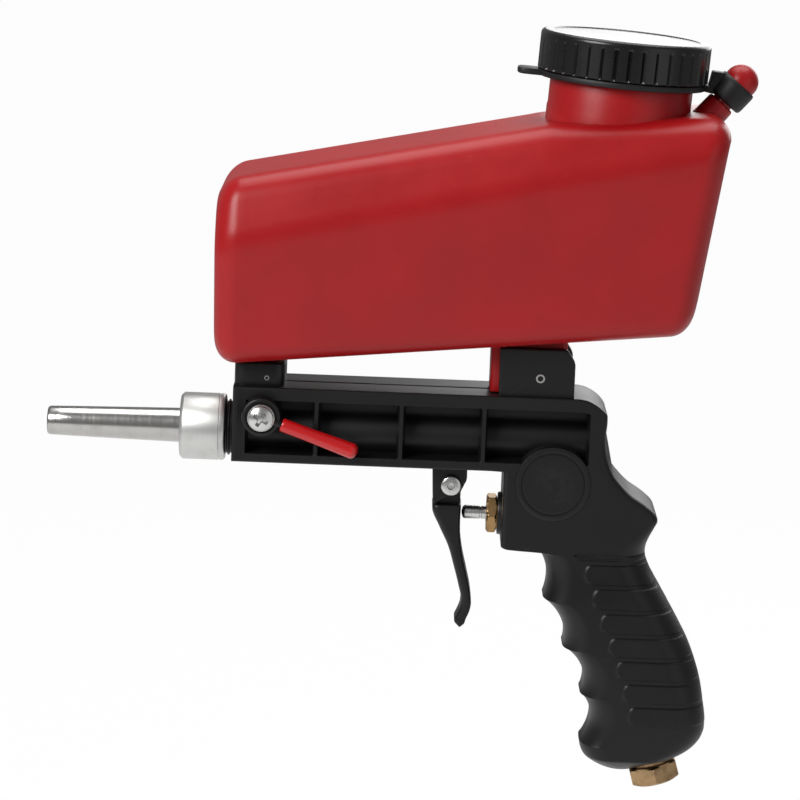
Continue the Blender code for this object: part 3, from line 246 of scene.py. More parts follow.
def turned(
    start: Triple,
    axis: Triple,
    profile: Array,
    sides: int = 96,
    shape: Callable[[Array, Array, Array], tuple[Array, Array]] | None = None,
) -> Array:
    """Surface of revolution: start + axis * height + radius * (across cos a + up sin a).

    Args:
        start: Point where the height is 0.
        axis: Direction of rising height.
        profile: Rows of height and radius.
        sides: Points on each ring.
        shape: Changes height and radius by angle, for ribs, hexagons and recesses.

    Returns:
        A grid of rings.
    """
    along, across, up = basis(axis)
    angle = np.arange(sides) * TAU / sides
    profile = np.asarray(profile, float)
    height = np.repeat(profile[:, :1], sides, axis=1)
    radius = np.repeat(profile[:, 1:], sides, axis=1)
    if shape is not None:
        height, radius = shape(height, radius, angle[None, :])
    spread = np.cos(angle)[None, :, None] * across + np.sin(angle)[None, :, None] * up
    return np.array(start) + height[..., None] * along + radius[..., None] * spread


def hexagonal(flats: float, ends: Pair, past: float, turn: float = math.radians(30)) -> Callable:
    """A shape for turned(): a hexagon whose corners are turned off at a cone of 30 degrees near both ends.

    The radius is the smallest of the hexagon's, flats / 2 / cos(angle to the nearest flat), the cone's and
    the profile's own.

    Args:
        flats: Width across flats.
        ends: Heights of the two end faces.
        past: Radius up to which points stay as they are.
        turn: Angle of the first flat.

    Returns:
        The function that changes height and radius.
    """

    def change(height: Array, radius: Array, angle: Array) -> tuple[Array, Array]:
        """Cuts the profile's radius down to the chamfered hexagon."""
        sector = (angle - turn + TAU / 12) % (TAU / 6) - TAU / 12
        hexagon = flats / 2 / np.cos(sector)
        inward = np.minimum(height - ends[0], ends[1] - height)
        cone = flats / 2 * 0.97 + np.maximum(inward, 0.0) / math.tan(math.radians(30))
        return height, np.where(radius > past, np.minimum(radius, np.minimum(hexagon, cone)), radius)

    return change


def slices(
    levels: Array,
    front: Array,
    back: Array,
    half: Array,
    nose: Array,
    tail: Array,
    arc: int = 12,
    flat: int = 40,
) -> Array:
    """A loft of level slices, each a rounded oblong that is symmetric about the plane Y = 0.

    Each side runs a quarter ellipse at the front, straight along, and a quarter ellipse at the back.

    Args:
        levels: Height of each slice.
        front: X of each slice's front.
        back: X of each slice's back.
        half: Half width of each slice.
        nose: Rows of the front ellipse's semi-axes along X and along Y.
        tail: Rows of the back ellipse's semi-axes along X and along Y.
        arc: Points on each quarter ellipse.
        flat: Points on each straight stretch.

    Returns:
        A grid of rings: the near side from front to back, then the far side from back to front.
    """
    turn = np.linspace(0.0, math.pi / 2, arc)[None, :]
    room = np.maximum(back - front, 1e-3)[:, None] / 2
    nose_x = np.minimum(nose[:, :1], room * 0.98)
    tail_x = np.minimum(tail[:, :1], room * 0.98)
    nose_y = np.minimum(nose[:, 1:], half[:, None])
    tail_y = np.minimum(tail[:, 1:], half[:, None])
    front_x = front[:, None] + nose_x * (1 - np.cos(turn))
    front_y = half[:, None] - nose_y * (1 - np.sin(turn))
    back_x = back[:, None] - tail_x * (1 - np.cos(turn[:, ::-1]))
    back_y = half[:, None] - tail_y * (1 - np.sin(turn[:, ::-1]))
    share = np.linspace(0.0, 1.0, flat + 2)[None, 1:-1]
    flat_x = front_x[:, -1:] + (back_x[:, :1] - front_x[:, -1:]) * share
    x = np.concatenate([front_x, flat_x, back_x], axis=1)
    y = np.concatenate([front_y, np.repeat(half[:, None], flat, axis=1), back_y], axis=1)
    z = np.broadcast_to(levels[:, None], x.shape)
    near = np.stack([x, -y, z], axis=-1)
    far = np.stack([x, y, z], axis=-1)[:, ::-1]
    return np.concatenate([near, far], axis=1)


def slab(outline: Array, low: float, high: float, soft: float = 0.5, steps: int = 3) -> Array:
    """An outline in X and Z carried along Y, with both its rims rounded.

    Near each end the outline moves inwards along its own normals by soft * (1 - cos a), for a quarter turn.
    One more ring lies in each face, close to the rounding, so that the face itself shades flat.

    Args:
        outline: Closed outline of X and Z points, with its centre inside it.
        low: Y of one face.
        high: Y of the other face.
        soft: Rounding of the rims.
        steps: Rings on each rounding.

    Returns:
        A grid of rings.
    """
    tangent = np.roll(outline, -1, axis=0) - np.roll(outline, 1, axis=0)
    tangent /= np.maximum(np.linalg.norm(tangent, axis=1, keepdims=True), 1e-9)
    normal = np.stack([tangent[:, 1], -tangent[:, 0]], axis=1)
    if np.sum(normal * (outline - outline.mean(axis=0))) < 0:
        normal = -normal
    turn = np.linspace(0.0, math.pi / 2, steps + 1)
    inset = soft * (1 - np.sin(turn))
    rise = soft * (1 - np.cos(turn))
    held = soft + 0.12
    insets = np.concatenate([[held], inset, inset[::-1], [held]])
    places = np.concatenate([[low], low + rise, high - rise[::-1], [high]])
    moved = outline[None] - normal[None] * insets[:, None, None]
    y = np.broadcast_to(places[:, None], moved.shape[:2])
    return np.stack([moved[..., 0], y, moved[..., 1]], axis=-1)


def ring_outline(x: Pair, y: Pair, corner: float) -> Array:
    """A rectangle with rounded corners, as points in a plane."""
    corners = np.array([(x[0], y[0]), (x[1], y[0]), (x[1], y[1]), (x[0], y[1])])
    return fillet(corners, corner * 1.25, 8)


def post(x: Pair, y: Pair, z: Pair, corner: float, soft: float) -> Array:
    """An upright post with round corners and rounded upper and lower rims, as a grid of rings."""
    rings = slab(ring_outline(x, y, corner), z[0], z[1], soft)
    return rings[..., [0, 2, 1]]


# --- Meshes -----------------------------------------------------------------------------------------------


def skin(name: str, rings: Array, hoop: bool = False, crease: float = 38.0) -> bpy.types.Object:
    """Makes a closed mesh from a grid of rings.

    Quads join each ring to the next. A hoop joins its last ring to its first; otherwise both end rings are
    closed by fans about their centres. The faces are turned round if the volume that they enclose, the sum of
    p0 . (p1 x p2) / 6 over all triangles, comes out negative.

    Args:
        name: The piece's name.
        rings: Grid of rings in barrel axes.
        hoop: Whether the rings themselves form a loop.
        crease: Angle in degrees past which an edge is sharp.

    Returns:
        The new object, at the origin with its place in its mesh.
    """
    rows, columns = rings.shape[:2]
    points = DATUM.place(rings).reshape(-1, 3)
    number = np.arange(rows * columns).reshape(rows, columns)
    upper = np.roll(number, -1, axis=0) if hoop else number[1:]
    lower = number if hoop else number[:-1]
    quads = np.stack(
        [lower, np.roll(lower, -1, axis=1), np.roll(upper, -1, axis=1), upper], axis=-1
    ).reshape(-1, 4)
    fans = np.zeros((0, 3), int)
    if not hoop:
        centres = points.reshape(rows, columns, 3)[[0, -1]].mean(axis=1)
        first, last = number[0], number[-1]
        base = rows * columns
        front = np.stack([np.roll(first, -1), first, np.full(columns, base)], axis=-1)
        back = np.stack([last, np.roll(last, -1), np.full(columns, base + 1)], axis=-1)
        fans = np.concatenate([front, back])
        points = np.concatenate([points, centres])
    triangles = np.concatenate([quads[:, [0, 1, 2]], quads[:, [0, 2, 3]], fans])
    a, b, c = (points[triangles[:, k]] for k in range(3))
    if np.einsum("ij,ij->i", a, np.cross(b, c)).sum() < 0:
        quads, fans = quads[:, ::-1], fans[:, ::-1]
    mesh = bpy.data.meshes.new(name)
    mesh.from_pydata(points.tolist(), [], quads.tolist() + fans.tolist())
    mesh.shade_smooth()
    mesh.set_sharp_from_angle(angle=math.radians(crease))
    piece = bpy.data.objects.new(name, mesh)
    bpy.context.scene.collection.objects.link(piece)
    return piece


# --- Shader building --------------------------------------------------------------------------------------


class Value:
    """A number socket that takes part in Python expressions."""

    def __init__(self, recipe: "Recipe", socket: bpy.types.NodeSocket) -> None:
        """Wraps a socket of the recipe's node tree."""
        self.recipe = recipe
        self.socket = socket

    def _maths(self, operation: str, first: object, second: object) -> "Value":
        """Adds one Math node."""
        made = self.recipe.node("ShaderNodeMath", {"operation": operation}, {0: first, 1: second})
        return Value(self.recipe, made.outputs[0])

    def __add__(self, other: object) -> "Value":
        """self + other."""
        return self._maths("ADD", self, other)

    def __radd__(self, other: object) -> "Value":
        """other + self."""
        return self._maths("ADD", other, self)

    def __sub__(self, other: object) -> "Value":
        """self - other."""
        return self._maths("SUBTRACT", self, other)

    def __rsub__(self, other: object) -> "Value":
        """other - self."""
        return self._maths("SUBTRACT", other, self)

    def __mul__(self, other: object) -> "Value":
        """self * other."""
        return self._maths("MULTIPLY", self, other)

    def __rmul__(self, other: object) -> "Value":
        """other * self."""
        return self._maths("MULTIPLY", other, self)

    def over(self, start: float, end: float) -> "Value":
        """0 before start and 1 after end, smoothly between."""
        made = self.recipe.node(
            "ShaderNodeMapRange",
            {"interpolation_type": "SMOOTHSTEP"},
            {"Value": self, "From Min": start, "From Max": end},
        )
        return Value(self.recipe, made.outputs["Result"])


class Recipe:
    """One material's node tree and the tools that fill it."""

    def __init__(self, name: str) -> None:
        """Starts a material with nothing but a Principled shader."""
        self.material = bpy.data.materials.new(name)
        self.material.use_nodes = True
        self.tree = self.material.node_tree
        self.shader = self.tree.nodes["Principled BSDF"]

    def node(self, kind: str, settings: dict[str, object], sockets: dict[object, object]) -> bpy.types.Node:
        """Adds a node.

        Args:
            kind: The node's type.
            settings: Properties, set first; "stops" fills a ramp with places and colours.
            sockets: Values or links for the inputs, by name or number.

        Returns:
            The new node.
        """
        made = self.tree.nodes.new(kind)
        for key, value in settings.items():
            if key == "stops":
                self._fill_ramp(made, value)
            else:
                setattr(made, key, value)
        for key, value in sockets.items():
            self.feed(made.inputs[key], value)
        return made

    def _fill_ramp(self, ramp: bpy.types.Node, stops: list[tuple[float, Triple]]) -> None:
        """Gives a colour ramp its stops."""
        elements = ramp.color_ramp.elements
        while len(elements) < len(stops):
            elements.new(0.5)
        for element, (place, colour) in zip(elements, stops):
            element.position = place
            element.color = (*colour, 1.0)

    def feed(self, socket: bpy.types.NodeSocket, value: object) -> None:
        """Links a socket to a value or another socket, or sets its constant."""
        if isinstance(value, Value):
            value = value.socket
        if isinstance(value, bpy.types.NodeSocket):
            self.tree.links.new(value, socket)
        else:
            socket.default_value = value

    def spot(self) -> bpy.types.NodeSocket:
        """The place on the piece, in metres."""
        return self.node("ShaderNodeTexCoord", {}, {}).outputs["Object"]

    def stretched(self, scale: Triple, turn: Triple = (0.0, 0.0, 0.0)) -> bpy.types.NodeSocket:
        """The place on the piece, turned and stretched."""
        sockets = {"Vector": self.spot(), "Rotation": turn, "Scale": scale}
        return self.node("ShaderNodeMapping", {"vector_type": "POINT"}, sockets).outputs[0]

    def noise(self, size: float, detail: float = 3.0, rough: float = 0.55, spot: object = None) -> Value:
        """Cloudy noise from 0 to 1.

        Args:
            size: Width of its main features in metres, or in the units of the given place.
            detail: Octaves.
            rough: Strength of each finer octave.
            spot: Place to read it at, if not the piece's own.

        Returns:
            The noise.
        """
        sockets = {
            "Vector": self.spot() if spot is None else spot,
            "Scale": 1.0 / size,
            "Detail": detail,
            "Roughness": rough,
        }
        return Value(self, self.node("ShaderNodeTexNoise", {}, sockets).outputs["Fac"])

    def cells(self, size: float) -> Value:
        """Distance to the nearest of scattered points, for pits and specks."""
        sockets = {"Vector": self.spot(), "Scale": 1.0 / size}
        return Value(self, self.node("ShaderNodeTexVoronoi", {}, sockets).outputs["Distance"])

    def vector_maths(self, operation: str, *inputs: object, output: str = "Vector") -> bpy.types.NodeSocket:
        """Adds one Vector Math node and returns one of its outputs."""
        made = self.node("ShaderNodeVectorMath", {"operation": operation}, dict(enumerate(inputs)))
        return made.outputs[output]

    def lathe(self, centre: Triple, axis: Triple, pitch: float) -> Value:
        """Turned lines: one-dimensional noise of the height along an axis plus the distance from it.

        Args:
            centre: A point of the axis, in metres.
            axis: The axis of turning.
            pitch: Width of the lines in metres.

        Returns:
            Noise from 0 to 1 that is the same all round the axis.
        """
        away = self.vector_maths("SUBTRACT", self.spot(), centre)
        unit = tuple(float(part) for part in basis(axis)[0])
        height = Value(self, self.vector_maths("DOT_PRODUCT", away, unit, output="Value"))
        along = self.vector_maths("PROJECT", away, unit)
        off = self.vector_maths("SUBTRACT", away, along)
        radius = Value(self, self.vector_maths("LENGTH", off, output="Value"))
        sockets = {"W": height + radius, "Scale": 1.0 / pitch, "Detail": 3.0, "Roughness": 0.7}
        lines = self.node("ShaderNodeTexNoise", {"noise_dimensions": "1D"}, sockets)
        return Value(self, lines.outputs["Fac"])

    def mix(self, share: object, first: object, second: object) -> bpy.types.NodeSocket:
        """Blends two colours.

        Args:
            share: How much of the second.
            first: Colour or socket.
            second: Colour or socket.

        Returns:
            The blended colour's socket.
        """
        made = self.node("ShaderNodeMix", {"data_type": "RGBA"}, {0: share})
        for index, colour in ((6, first), (7, second)):
            value = colour if isinstance(colour, bpy.types.NodeSocket) else (*colour, 1.0)
            self.feed(made.inputs[index], value)
        return made.outputs[2]

    def worn(self, low: float, high: float) -> Value:
        """1 on edges that stand out, from Geometry's pointiness."""
        return Value(self, self.node("ShaderNodeNewGeometry", {}, {}).outputs["Pointiness"]).over(low, high)

    def bump(
        self, height: Value, depth: float, strength: float = 1.0, after: object = None
    ) -> bpy.types.NodeSocket:
        """Turns a height into a normal.

        Args:
            height: Height from 0 to 1.
            depth: What 1 stands for, in metres.
            strength: How much of it counts.
            after: Another bump's normal to build on.

        Returns:
            The normal's socket.
        """
        sockets = {"Height": height, "Distance": depth, "Strength": strength}
        if after is not None:
            sockets["Normal"] = after
        return self.node("ShaderNodeBump", {}, sockets).outputs["Normal"]

    def dress(self, **sockets: object) -> bpy.types.Material:
        """Feeds the Principled shader and returns the material. Socket names have _ for spaces."""
        for key, value in sockets.items():
            self.feed(self.shader.inputs[key.replace("_", " ")], value)
        return self.material


# --- Finishes ---------------------------------------------------------------------------------------------


@dataclass(frozen=True)
class Moulded:
    """Moulded plastic: a fine grain, faint cloudy sheen, scuffs, and edges polished by handling.

    Attributes:
        name: The material's name.
        slot: The record's slot; not used.
        colour: Main colour.
        scuffed: Colour of worn edges and scuffs.
        roughness: Mean roughness.
        grain: Width of the grain in metres.
        relief: Depth of the grain in metres.
        wave: Depth of the slow waviness of moulded walls in metres.
        wear: How strongly edges and scuffs show.
        gloss: Specular level.
    """

    name: str
    slot: Slot
    colour: Triple
    scuffed: Triple
    roughness: float
    grain: float = 0.0005
    relief: float = 0.00003
    wave: float = 0.00008
    wear: float = 0.5
    gloss: float = 0.5

    def material(self) -> bpy.types.Material:
        """Builds the finish."""
        recipe = Recipe(self.name)
        cloud = recipe.noise(0.028, 4.0)
        grain = recipe.noise(self.grain, 2.0, 0.6)
        scuff = recipe.noise(0.006, 6.0, 0.7).over(0.60, 0.74) * recipe.noise(0.03, 2.0).over(0.45, 0.62)
        edge = recipe.worn(0.515, 0.56) * recipe.noise(0.004, 4.0).over(0.35, 0.6)
        darker = tuple(channel * 0.93 for channel in self.colour)
        lighter = tuple(min(1.0, channel * 1.06) for channel in self.colour)
        tint = recipe.mix(cloud.over(0.3, 0.7), darker, lighter)
        tint = recipe.mix((edge + scuff * 0.35) * self.wear, tint, self.scuffed)
        rough = self.roughness + (cloud - 0.5) * 0.16 + (grain - 0.5) * 0.12 + scuff * 0.1 - edge * 0.08
        slow = recipe.bump(recipe.noise(0.018, 2.0), self.wave)
        fine = recipe.bump(grain, self.relief, 0.7, slow)
        return recipe.dress(
            Base_Color=tint, Roughness=rough, Normal=fine, Specular_IOR_Level=self.gloss, IOR=1.49
        )


@dataclass(frozen=True)
class Dipped:
    """Dipped vinyl: a soft smooth gloss with slow ripples and a little dirt.

    Attributes:
        name: The material's name.
        slot: The record's slot; not used.
        colour: Main colour.
        dirt: Colour of the grime.
        roughness: Mean roughness.
    """

    name: str
    slot: Slot
    colour: Triple
    dirt: Triple
    roughness: float

    def material(self) -> bpy.types.Material:
        """Builds the finish."""
        recipe = Recipe(self.name)
        grime = recipe.noise(0.005, 5.0, 0.65).over(0.56, 0.75)
        tint = recipe.mix(grime * 0.35, self.colour, self.dirt)
        ripple = recipe.bump(recipe.noise(0.004, 2.0), 0.00012)
        return recipe.dress(
            Base_Color=tint,
            Roughness=self.roughness + grime * 0.2,
            Normal=recipe.bump(recipe.noise(0.0006, 2.0), 0.00002, 0.6, ripple),
            Coat_Weight=0.3,
            Coat_Roughness=0.25,
        )


@dataclass(frozen=True)
class Rubber:
    """Flexible rubber: matte, with a fine grain and patches of pale dust.

    Attributes:
        name: The material's name.
        slot: The record's slot; not used.
        colour: Main colour.
        dust: Colour of the dust.
        roughness: Mean roughness.
    """

    name: str
    slot: Slot
    colour: Triple
    dust: Triple
    roughness: float

    def material(self) -> bpy.types.Material:
        """Builds the finish."""
        recipe = Recipe(self.name)
        dusty = recipe.noise(0.007, 6.0, 0.7).over(0.5, 0.8)
        grain = recipe.noise(0.0004, 3.0, 0.6)
        return recipe.dress(
            Base_Color=recipe.mix(dusty * 0.3, self.colour, self.dust),
            Roughness=self.roughness + dusty * 0.15,
            Normal=recipe.bump(grain, 0.00003, 0.8),
            Specular_IOR_Level=0.4,
        )


@dataclass(frozen=True)
class TurnedMetal:
    """Metal turned on a lathe: fine rings about its axis, tarnish in clouds, scratches and bright edges.

    Attributes:
        name: The material's name.
        slot: The record's slot; not used.
        colour: Main colour.
        tarnish: Colour of the tarnish.
        roughness: Mean roughness.
        centre: A point of the lathe axis in barrel axes.
        axis: The lathe axis.
        pitch: Width of the turned lines in metres.
        relief: Depth of the turned lines in metres.
        cloudy: How much of the surface the tarnish takes, from 0 to 1.
    """

    name: str
    slot: Slot
    colour: Triple
    tarnish: Triple
    roughness: float
    centre: Triple = (0.0, 0.0, 0.0)
    axis: Triple = (1.0, 0.0, 0.0)
    pitch: float = 0.00035
    relief: float = 0.000012
    cloudy: float = 0.4

    def material(self) -> bpy.types.Material:
        """Builds the finish."""
        recipe = Recipe(self.name)
        lines = recipe.lathe(DATUM.spot(self.centre), self.axis, self.pitch)
        cloud = recipe.noise(0.006, 6.0, 0.65).over(0.42, 0.72)
        specks = 1 - recipe.cells(0.0016).over(0.05, 0.16)
        streaks = recipe.stretched((1.0, 9.0, 9.0), (0.3, 0.5, 0.2))
        scratch = recipe.noise(0.004, 3.0, 0.6, streaks).over(0.62, 0.7)
        edge = recipe.worn(0.52, 0.58)
        bright = tuple(min(1.0, channel * 1.15) for channel in self.colour)
        tint = recipe.mix(lines.over(0.3, 0.7) * 0.35, self.colour, bright)
        tint = recipe.mix((cloud * 0.8 + specks * 0.3) * self.cloudy, tint, self.tarnish)
        tint = recipe.mix(edge * 0.5, tint, bright)
        rough = self.roughness + (lines - 0.5) * 0.14 + cloud * (0.2 * self.cloudy) + scratch * 0.06
        normal = recipe.bump(lines, self.relief, 1.0)
        return recipe.dress(
            Base_Color=tint,
            Metallic=1.0,
            Roughness=rough,
            Normal=recipe.bump(scratch, 0.000008, 0.6, normal),
        )


# --- Pieces and their bookkeeping -------------------------------------------------------------------------


@dataclass
class Wardrobe:
    """Finishes made so far, so that pieces of one finish share one material."""

    made: dict[str, bpy.types.Material] = field(default_factory=dict)

    def material(self, finish: object) -> bpy.types.Material:
        """The finish's material, built on first use."""
        if finish.name not in self.made:
            self.made[finish.name] = finish.material()
        return self.made[finish.name]

    def dress(
        self, piece: bpy.types.Object, finish: object, part: Part, stands_for: tuple[str, ...] = ()
    ) -> None:
        """Gives a new piece its finish and body.

        Args:
            piece: The new object.
            finish: Its finish.
            part: The body it rides on.
            stands_for: CAD nodes that it replaces.
        """
        piece.data.materials.clear()
        piece.data.materials.append(self.material(finish))
        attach(piece, part.value)
        if stands_for:
            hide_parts(*stands_for)
        LOG.info("%s: %d faces, rides on %s", piece.name, len(piece.data.polygons), part.value)

    def paint(self, node: str, finish: object) -> None:
        """Gives a CAD node that stays in sight a finish."""
        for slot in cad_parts[node].material_slots:
            slot.material = self.material(finish)
        LOG.info("%s: CAD solid with finish %s", node, finish.name)


WARDROBE = Wardrobe()

BLACK_BODY = Moulded(
    name="body_black_grain",
    slot=Slot.BODY,
    colour=(0.0045, 0.0045, 0.0048),
    scuffed=(0.020, 0.020, 0.021),
    roughness=0.42,
    wear=0.35,
    gloss=0.35,
)
RED_HOPPER = Moulded(
    name="hopper_red_satin",
    slot=Slot.HOPPER,
    colour=(0.34, 0.0045, 0.0065),
    scuffed=(0.44, 0.02, 0.02),
    roughness=0.36,
    grain=0.0007,
    relief=0.00003,
    wave=0.00010,
    wear=0.25,
    gloss=0.35,
)
BLACK_CAP = Moulded(
    name="cap_black_gloss",
    slot=Slot.CAP,
    colour=(0.004, 0.004, 0.0043),
    scuffed=(0.025, 0.025, 0.026),
    roughness=0.28,
    relief=0.00001,
    wave=0.00003,
)
RED_VINYL = Dipped(
    name="vinyl_red_dip",
    slot=Slot.VINYL,
    colour=(0.50, 0.005, 0.007),
    dirt=(0.12, 0.01, 0.01),
    roughness=0.28,
)
TETHER = Rubber(
    name="tether_rubber_black",
    slot=Slot.TETHER,
    colour=(0.005, 0.005, 0.0053),
    dust=(0.03, 0.03, 0.03),
    roughness=0.5,
)
SEAL = Rubber(
    name="seal_rubber_black",
    slot=Slot.SEAL,
    colour=(0.014, 0.014, 0.014),
    dust=(0.05, 0.05, 0.05),
    roughness=0.62,
)
STEEL = TurnedMetal(
    name="nozzle_ground_steel",
    slot=Slot.STEEL,
    colour=(0.50, 0.49, 0.475),
    tarnish=(0.22, 0.20, 0.18),
    roughness=0.20,
    pitch=0.0012,
    relief=0.000006,
    cloudy=0.3,
)
ALUMINIUM = TurnedMetal(
    name="nut_turned_aluminium",
    slot=Slot.ALUMINIUM,
    colour=(0.60, 0.60, 0.585),
    tarnish=(0.40, 0.40, 0.385),
    roughness=0.40,
    pitch=0.0005,
    cloudy=0.35,
)
BRASS_X = TurnedMetal(
    name="brass_turned_along_barrel",
    slot=Slot.BRASS,
    colour=(0.40, 0.25, 0.11),
    tarnish=(0.13, 0.07, 0.03),
    roughness=0.34,
    centre=(0, 0, -26),
    cloudy=0.7,
)


def pin_finish(name: str, centre: Triple, axis: Triple) -> TurnedMetal:
    """Zinc-plated steel turned about the given axis."""
    return TurnedMetal(
        name=f"zinc_plate_{name}",
        slot=Slot.PIN,
        colour=(0.62, 0.62, 0.61),
        tarnish=(0.32, 0.32, 0.33),
        roughness=0.24,
        centre=centre,
        axis=axis,
        pitch=0.0003,
        cloudy=0.25,
    )


# --- Gun body ---------------------------------------------------------------------------------------------


@dataclass
class GunBody:
    """The one-piece moulding: barrel block with ribbed pockets, hand block, grip, posts and bosses."""

    length: float = 123.2
    top: float = 16.5
    bottom: float = -8.9
    half: float = 14.0
    pocket_low: float = -5.6
    pocket_high: float = 11.8
    web: float = 4.0
    tube: float = 8.2
    ribs: tuple[float, ...] = (27.8, 55.9, 83.3)
    rib: float = 2.0
    front_plate: float = 4.7
    pocket_end: float = 118.0
    wall_run: float = 0.35
    corner: float = 0.7
    hand_front: float = 90.6
    hand_bottom: float = -35.6
    medallion: Triple = (107.0, 0.0, -12.4)
    medallion_radius: float = 12.5
    grip_half: float = 15.2
    pad_rise: float = 0.9
    pad_groove: float = 1.5
    pad_ends: tuple[tuple[float, float], ...] = (
        (115.2, -37.9),
        (118.9, -46.0),
        (122.0, -54.3),
        (125.0, -62.4),
        (128.2, -70.4),
        (131.0, -78.3),
        (133.6, -86.2),
        (135.8, -94.0),
    )
    pad_first_height: float = 3.2
    pad_end_round: float = 2.6
    rear_round: float = 2.6
    crown_start: float = 114.2
    crown_radius: float = 10.0
    heel: float = -113.3
    ledge_front: float = 91.7
    grip_front: float = 102.0

    def back(self, level: Array) -> Array:
        """X of the body's back at a height: a near-upright wall, the horn, the grip's swell and the heel."""
        knots = (
            (-113.3, 136.0), (-112.6, 139.4), (-111.0, 143.6), (-107.5, 152.6), (-104.9, 157.3),
            (-101.6, 160.7), (-98.3, 162.3), (-94.4, 162.6), (-87.3, 161.6), (-77.2, 159.4),
            (-67.9, 155.8), (-58.7, 150.8), (-48.8, 145.0), (-41.3, 140.8), (-37.4, 139.5),
            (-33.6, 139.3), (-29.7, 140.2), (-26.6, 141.5), (-24.3, 142.5), (-22.6, 142.1),
            (-18.2, 137.4), (-15.7, 133.5), (-12.0, 129.6), (-8.7, 126.9), (-4.9, 125.1),
            (-1.1, 124.1), (2.6, 123.8), (8.5, 124.2), (16.5, 123.6),
        )
        return smooth_curve(level, np.array(knots))

    def grooved_front(self, level: Array) -> Array:
        """X of the grip's front at a height: chords between cusps, each hollowed by depth * sin(pi t)."""
        cusps = np.array(((-35.0, 101.8), (-53.2, 105.6), (-69.6, 113.0), (-85.8, 119.6), (-102.8, 120.4)))
        depths = np.array((2.9, 3.3, 3.9, 3.6))
        k = np.clip(np.searchsorted(-cusps[:, 0], -level) - 1, 0, 3)
        share = np.clip((cusps[k, 0] - level) / (cusps[k, 0] - cusps[k + 1, 0]), 0.0, 1.0)
        chord = cusps[k, 1] + (cusps[k + 1, 1] - cusps[k, 1]) * share
        hollow = depths[k] * np.sin(math.pi * share**0.85) ** 0.8
        drop = np.clip((cusps[-1, 0] - level) / 10.6, 0.0, 1.0)
        toe = 120.4 + 15.3 * (1 - np.sqrt(1 - drop**2))
        return np.where(level < cusps[-1, 0], toe, chord + hollow)

    def pocketed(self, x: Array, z: Array) -> Array:
        """Half width of the block: full at rails and ribs, down to the web and the barrel in the pockets."""
        run = self.wall_run
        walls = [self.front_plate]
        for centre in self.ribs:
            walls += [centre - self.rib / 2, centre + self.rib / 2]
        walls.append(self.pocket_end)
        along = sum(
            step(x, start - run, start + run) - step(x, end - run, end + run)
            for start, end in zip(walls[::2], walls[1::2])
        )
        low, high = self.pocket_low, self.pocket_high
        up = step(z, low - run, low + run) - step(z, high - run, high + run)
        barrel = np.sqrt(np.maximum(self.tube**2 - z**2, 0.0))
        floor = np.maximum(self.web, barrel)
        bead = 0.35 * (step(x, 0.0, 0.5) - step(x, 1.7, 2.2))
        return self.half + bead - (self.half - floor) * along * up

    def barrel_block(self) -> bpy.types.Object:
        """The long block: closed sections in Y and Z, one for each X, whose half width follows pocketed()."""
        run = self.wall_run
        edges = [self.front_plate, self.pocket_end]
        for centre in self.ribs:
            edges += [centre - self.rib / 2, centre + self.rib / 2]
        x = crowded(0.0, self.length, 1.6, (1.0, *edges), 0.8)
        rear = self.length - self.rear_round * (1 - np.cos(np.linspace(math.pi / 2, 0.0, 9)))
        x = np.unique(np.concatenate([x[x < self.length - self.rear_round - 0.1], rear]))[:, None]
        side = crowded(self.bottom, self.top, 0.8, (self.pocket_low, self.pocket_high), 2.2 * run)[None, :]
        side = side[:, (side[0] > self.bottom + self.corner) & (side[0] < self.top - self.corner)]
        past_crown = np.maximum(x - self.crown_start, 0.0)
        crown = self.crown_radius - np.sqrt(np.maximum(self.crown_radius**2 - past_crown**2, 0.0))
        roof = self.top - crown
        low_round = self.corner * (1 - step(x, 86.0, 90.0)) + 0.02
        turn = np.linspace(0.0, math.pi / 2, 5)[None, :]
        near_low = np.stack(np.broadcast_arrays(
            self.half - low_round * (1 - np.sin(turn)), self.bottom + low_round * (1 - np.cos(turn))), -1)
        near_high = np.stack(np.broadcast_arrays(
            self.half - self.corner * (1 - np.cos(turn)), roof - self.corner * (1 - np.sin(turn))), -1)
        lift = 5.0 + (side - 5.0) * (roof - 5.0) / (self.top - 5.0)
        height = np.where(side > 5.0, lift, side)
        wall = np.stack(np.broadcast_arrays(self.pocketed(x, side), height), -1)
        near = np.concatenate([near_low, wall, near_high], axis=1)
        flats = np.linspace(1.6, 12.5, 5)
        across = np.concatenate([-flats[::-1], np.linspace(-1.2, 1.2, 9), flats])
        groove = 0.5 * np.exp(-((across / 0.55) ** 2)) * (step(x, 17.0, 17.6) - step(x, 87.0, 87.6))
        lid = np.stack(np.broadcast_arrays(across[None, :], roof - groove), -1)
        far = near[:, ::-1]
        section = np.concatenate([near * (-1, 1), lid, far], axis=1)
        back = self.back(section[..., 1])
        shift = np.clip((x - self.pocket_end) / (self.length - self.pocket_end), 0.0, 1.0)
        true_x = np.where(x > self.pocket_end, self.pocket_end + shift * (back - self.pocket_end), x)
        gap = np.clip((back - true_x) / self.rear_round, 0.0, 1.0)
        limit = self.half - self.rear_round * (1 - np.sqrt(np.maximum(1 - (1 - gap) ** 2, 0.0)))
        y = np.clip(section[..., 0], -limit - 0.4 * (x < 100), limit + 0.4 * (x < 100))
        return skin("barrel_block", np.stack([true_x, y, section[..., 1]], axis=-1))

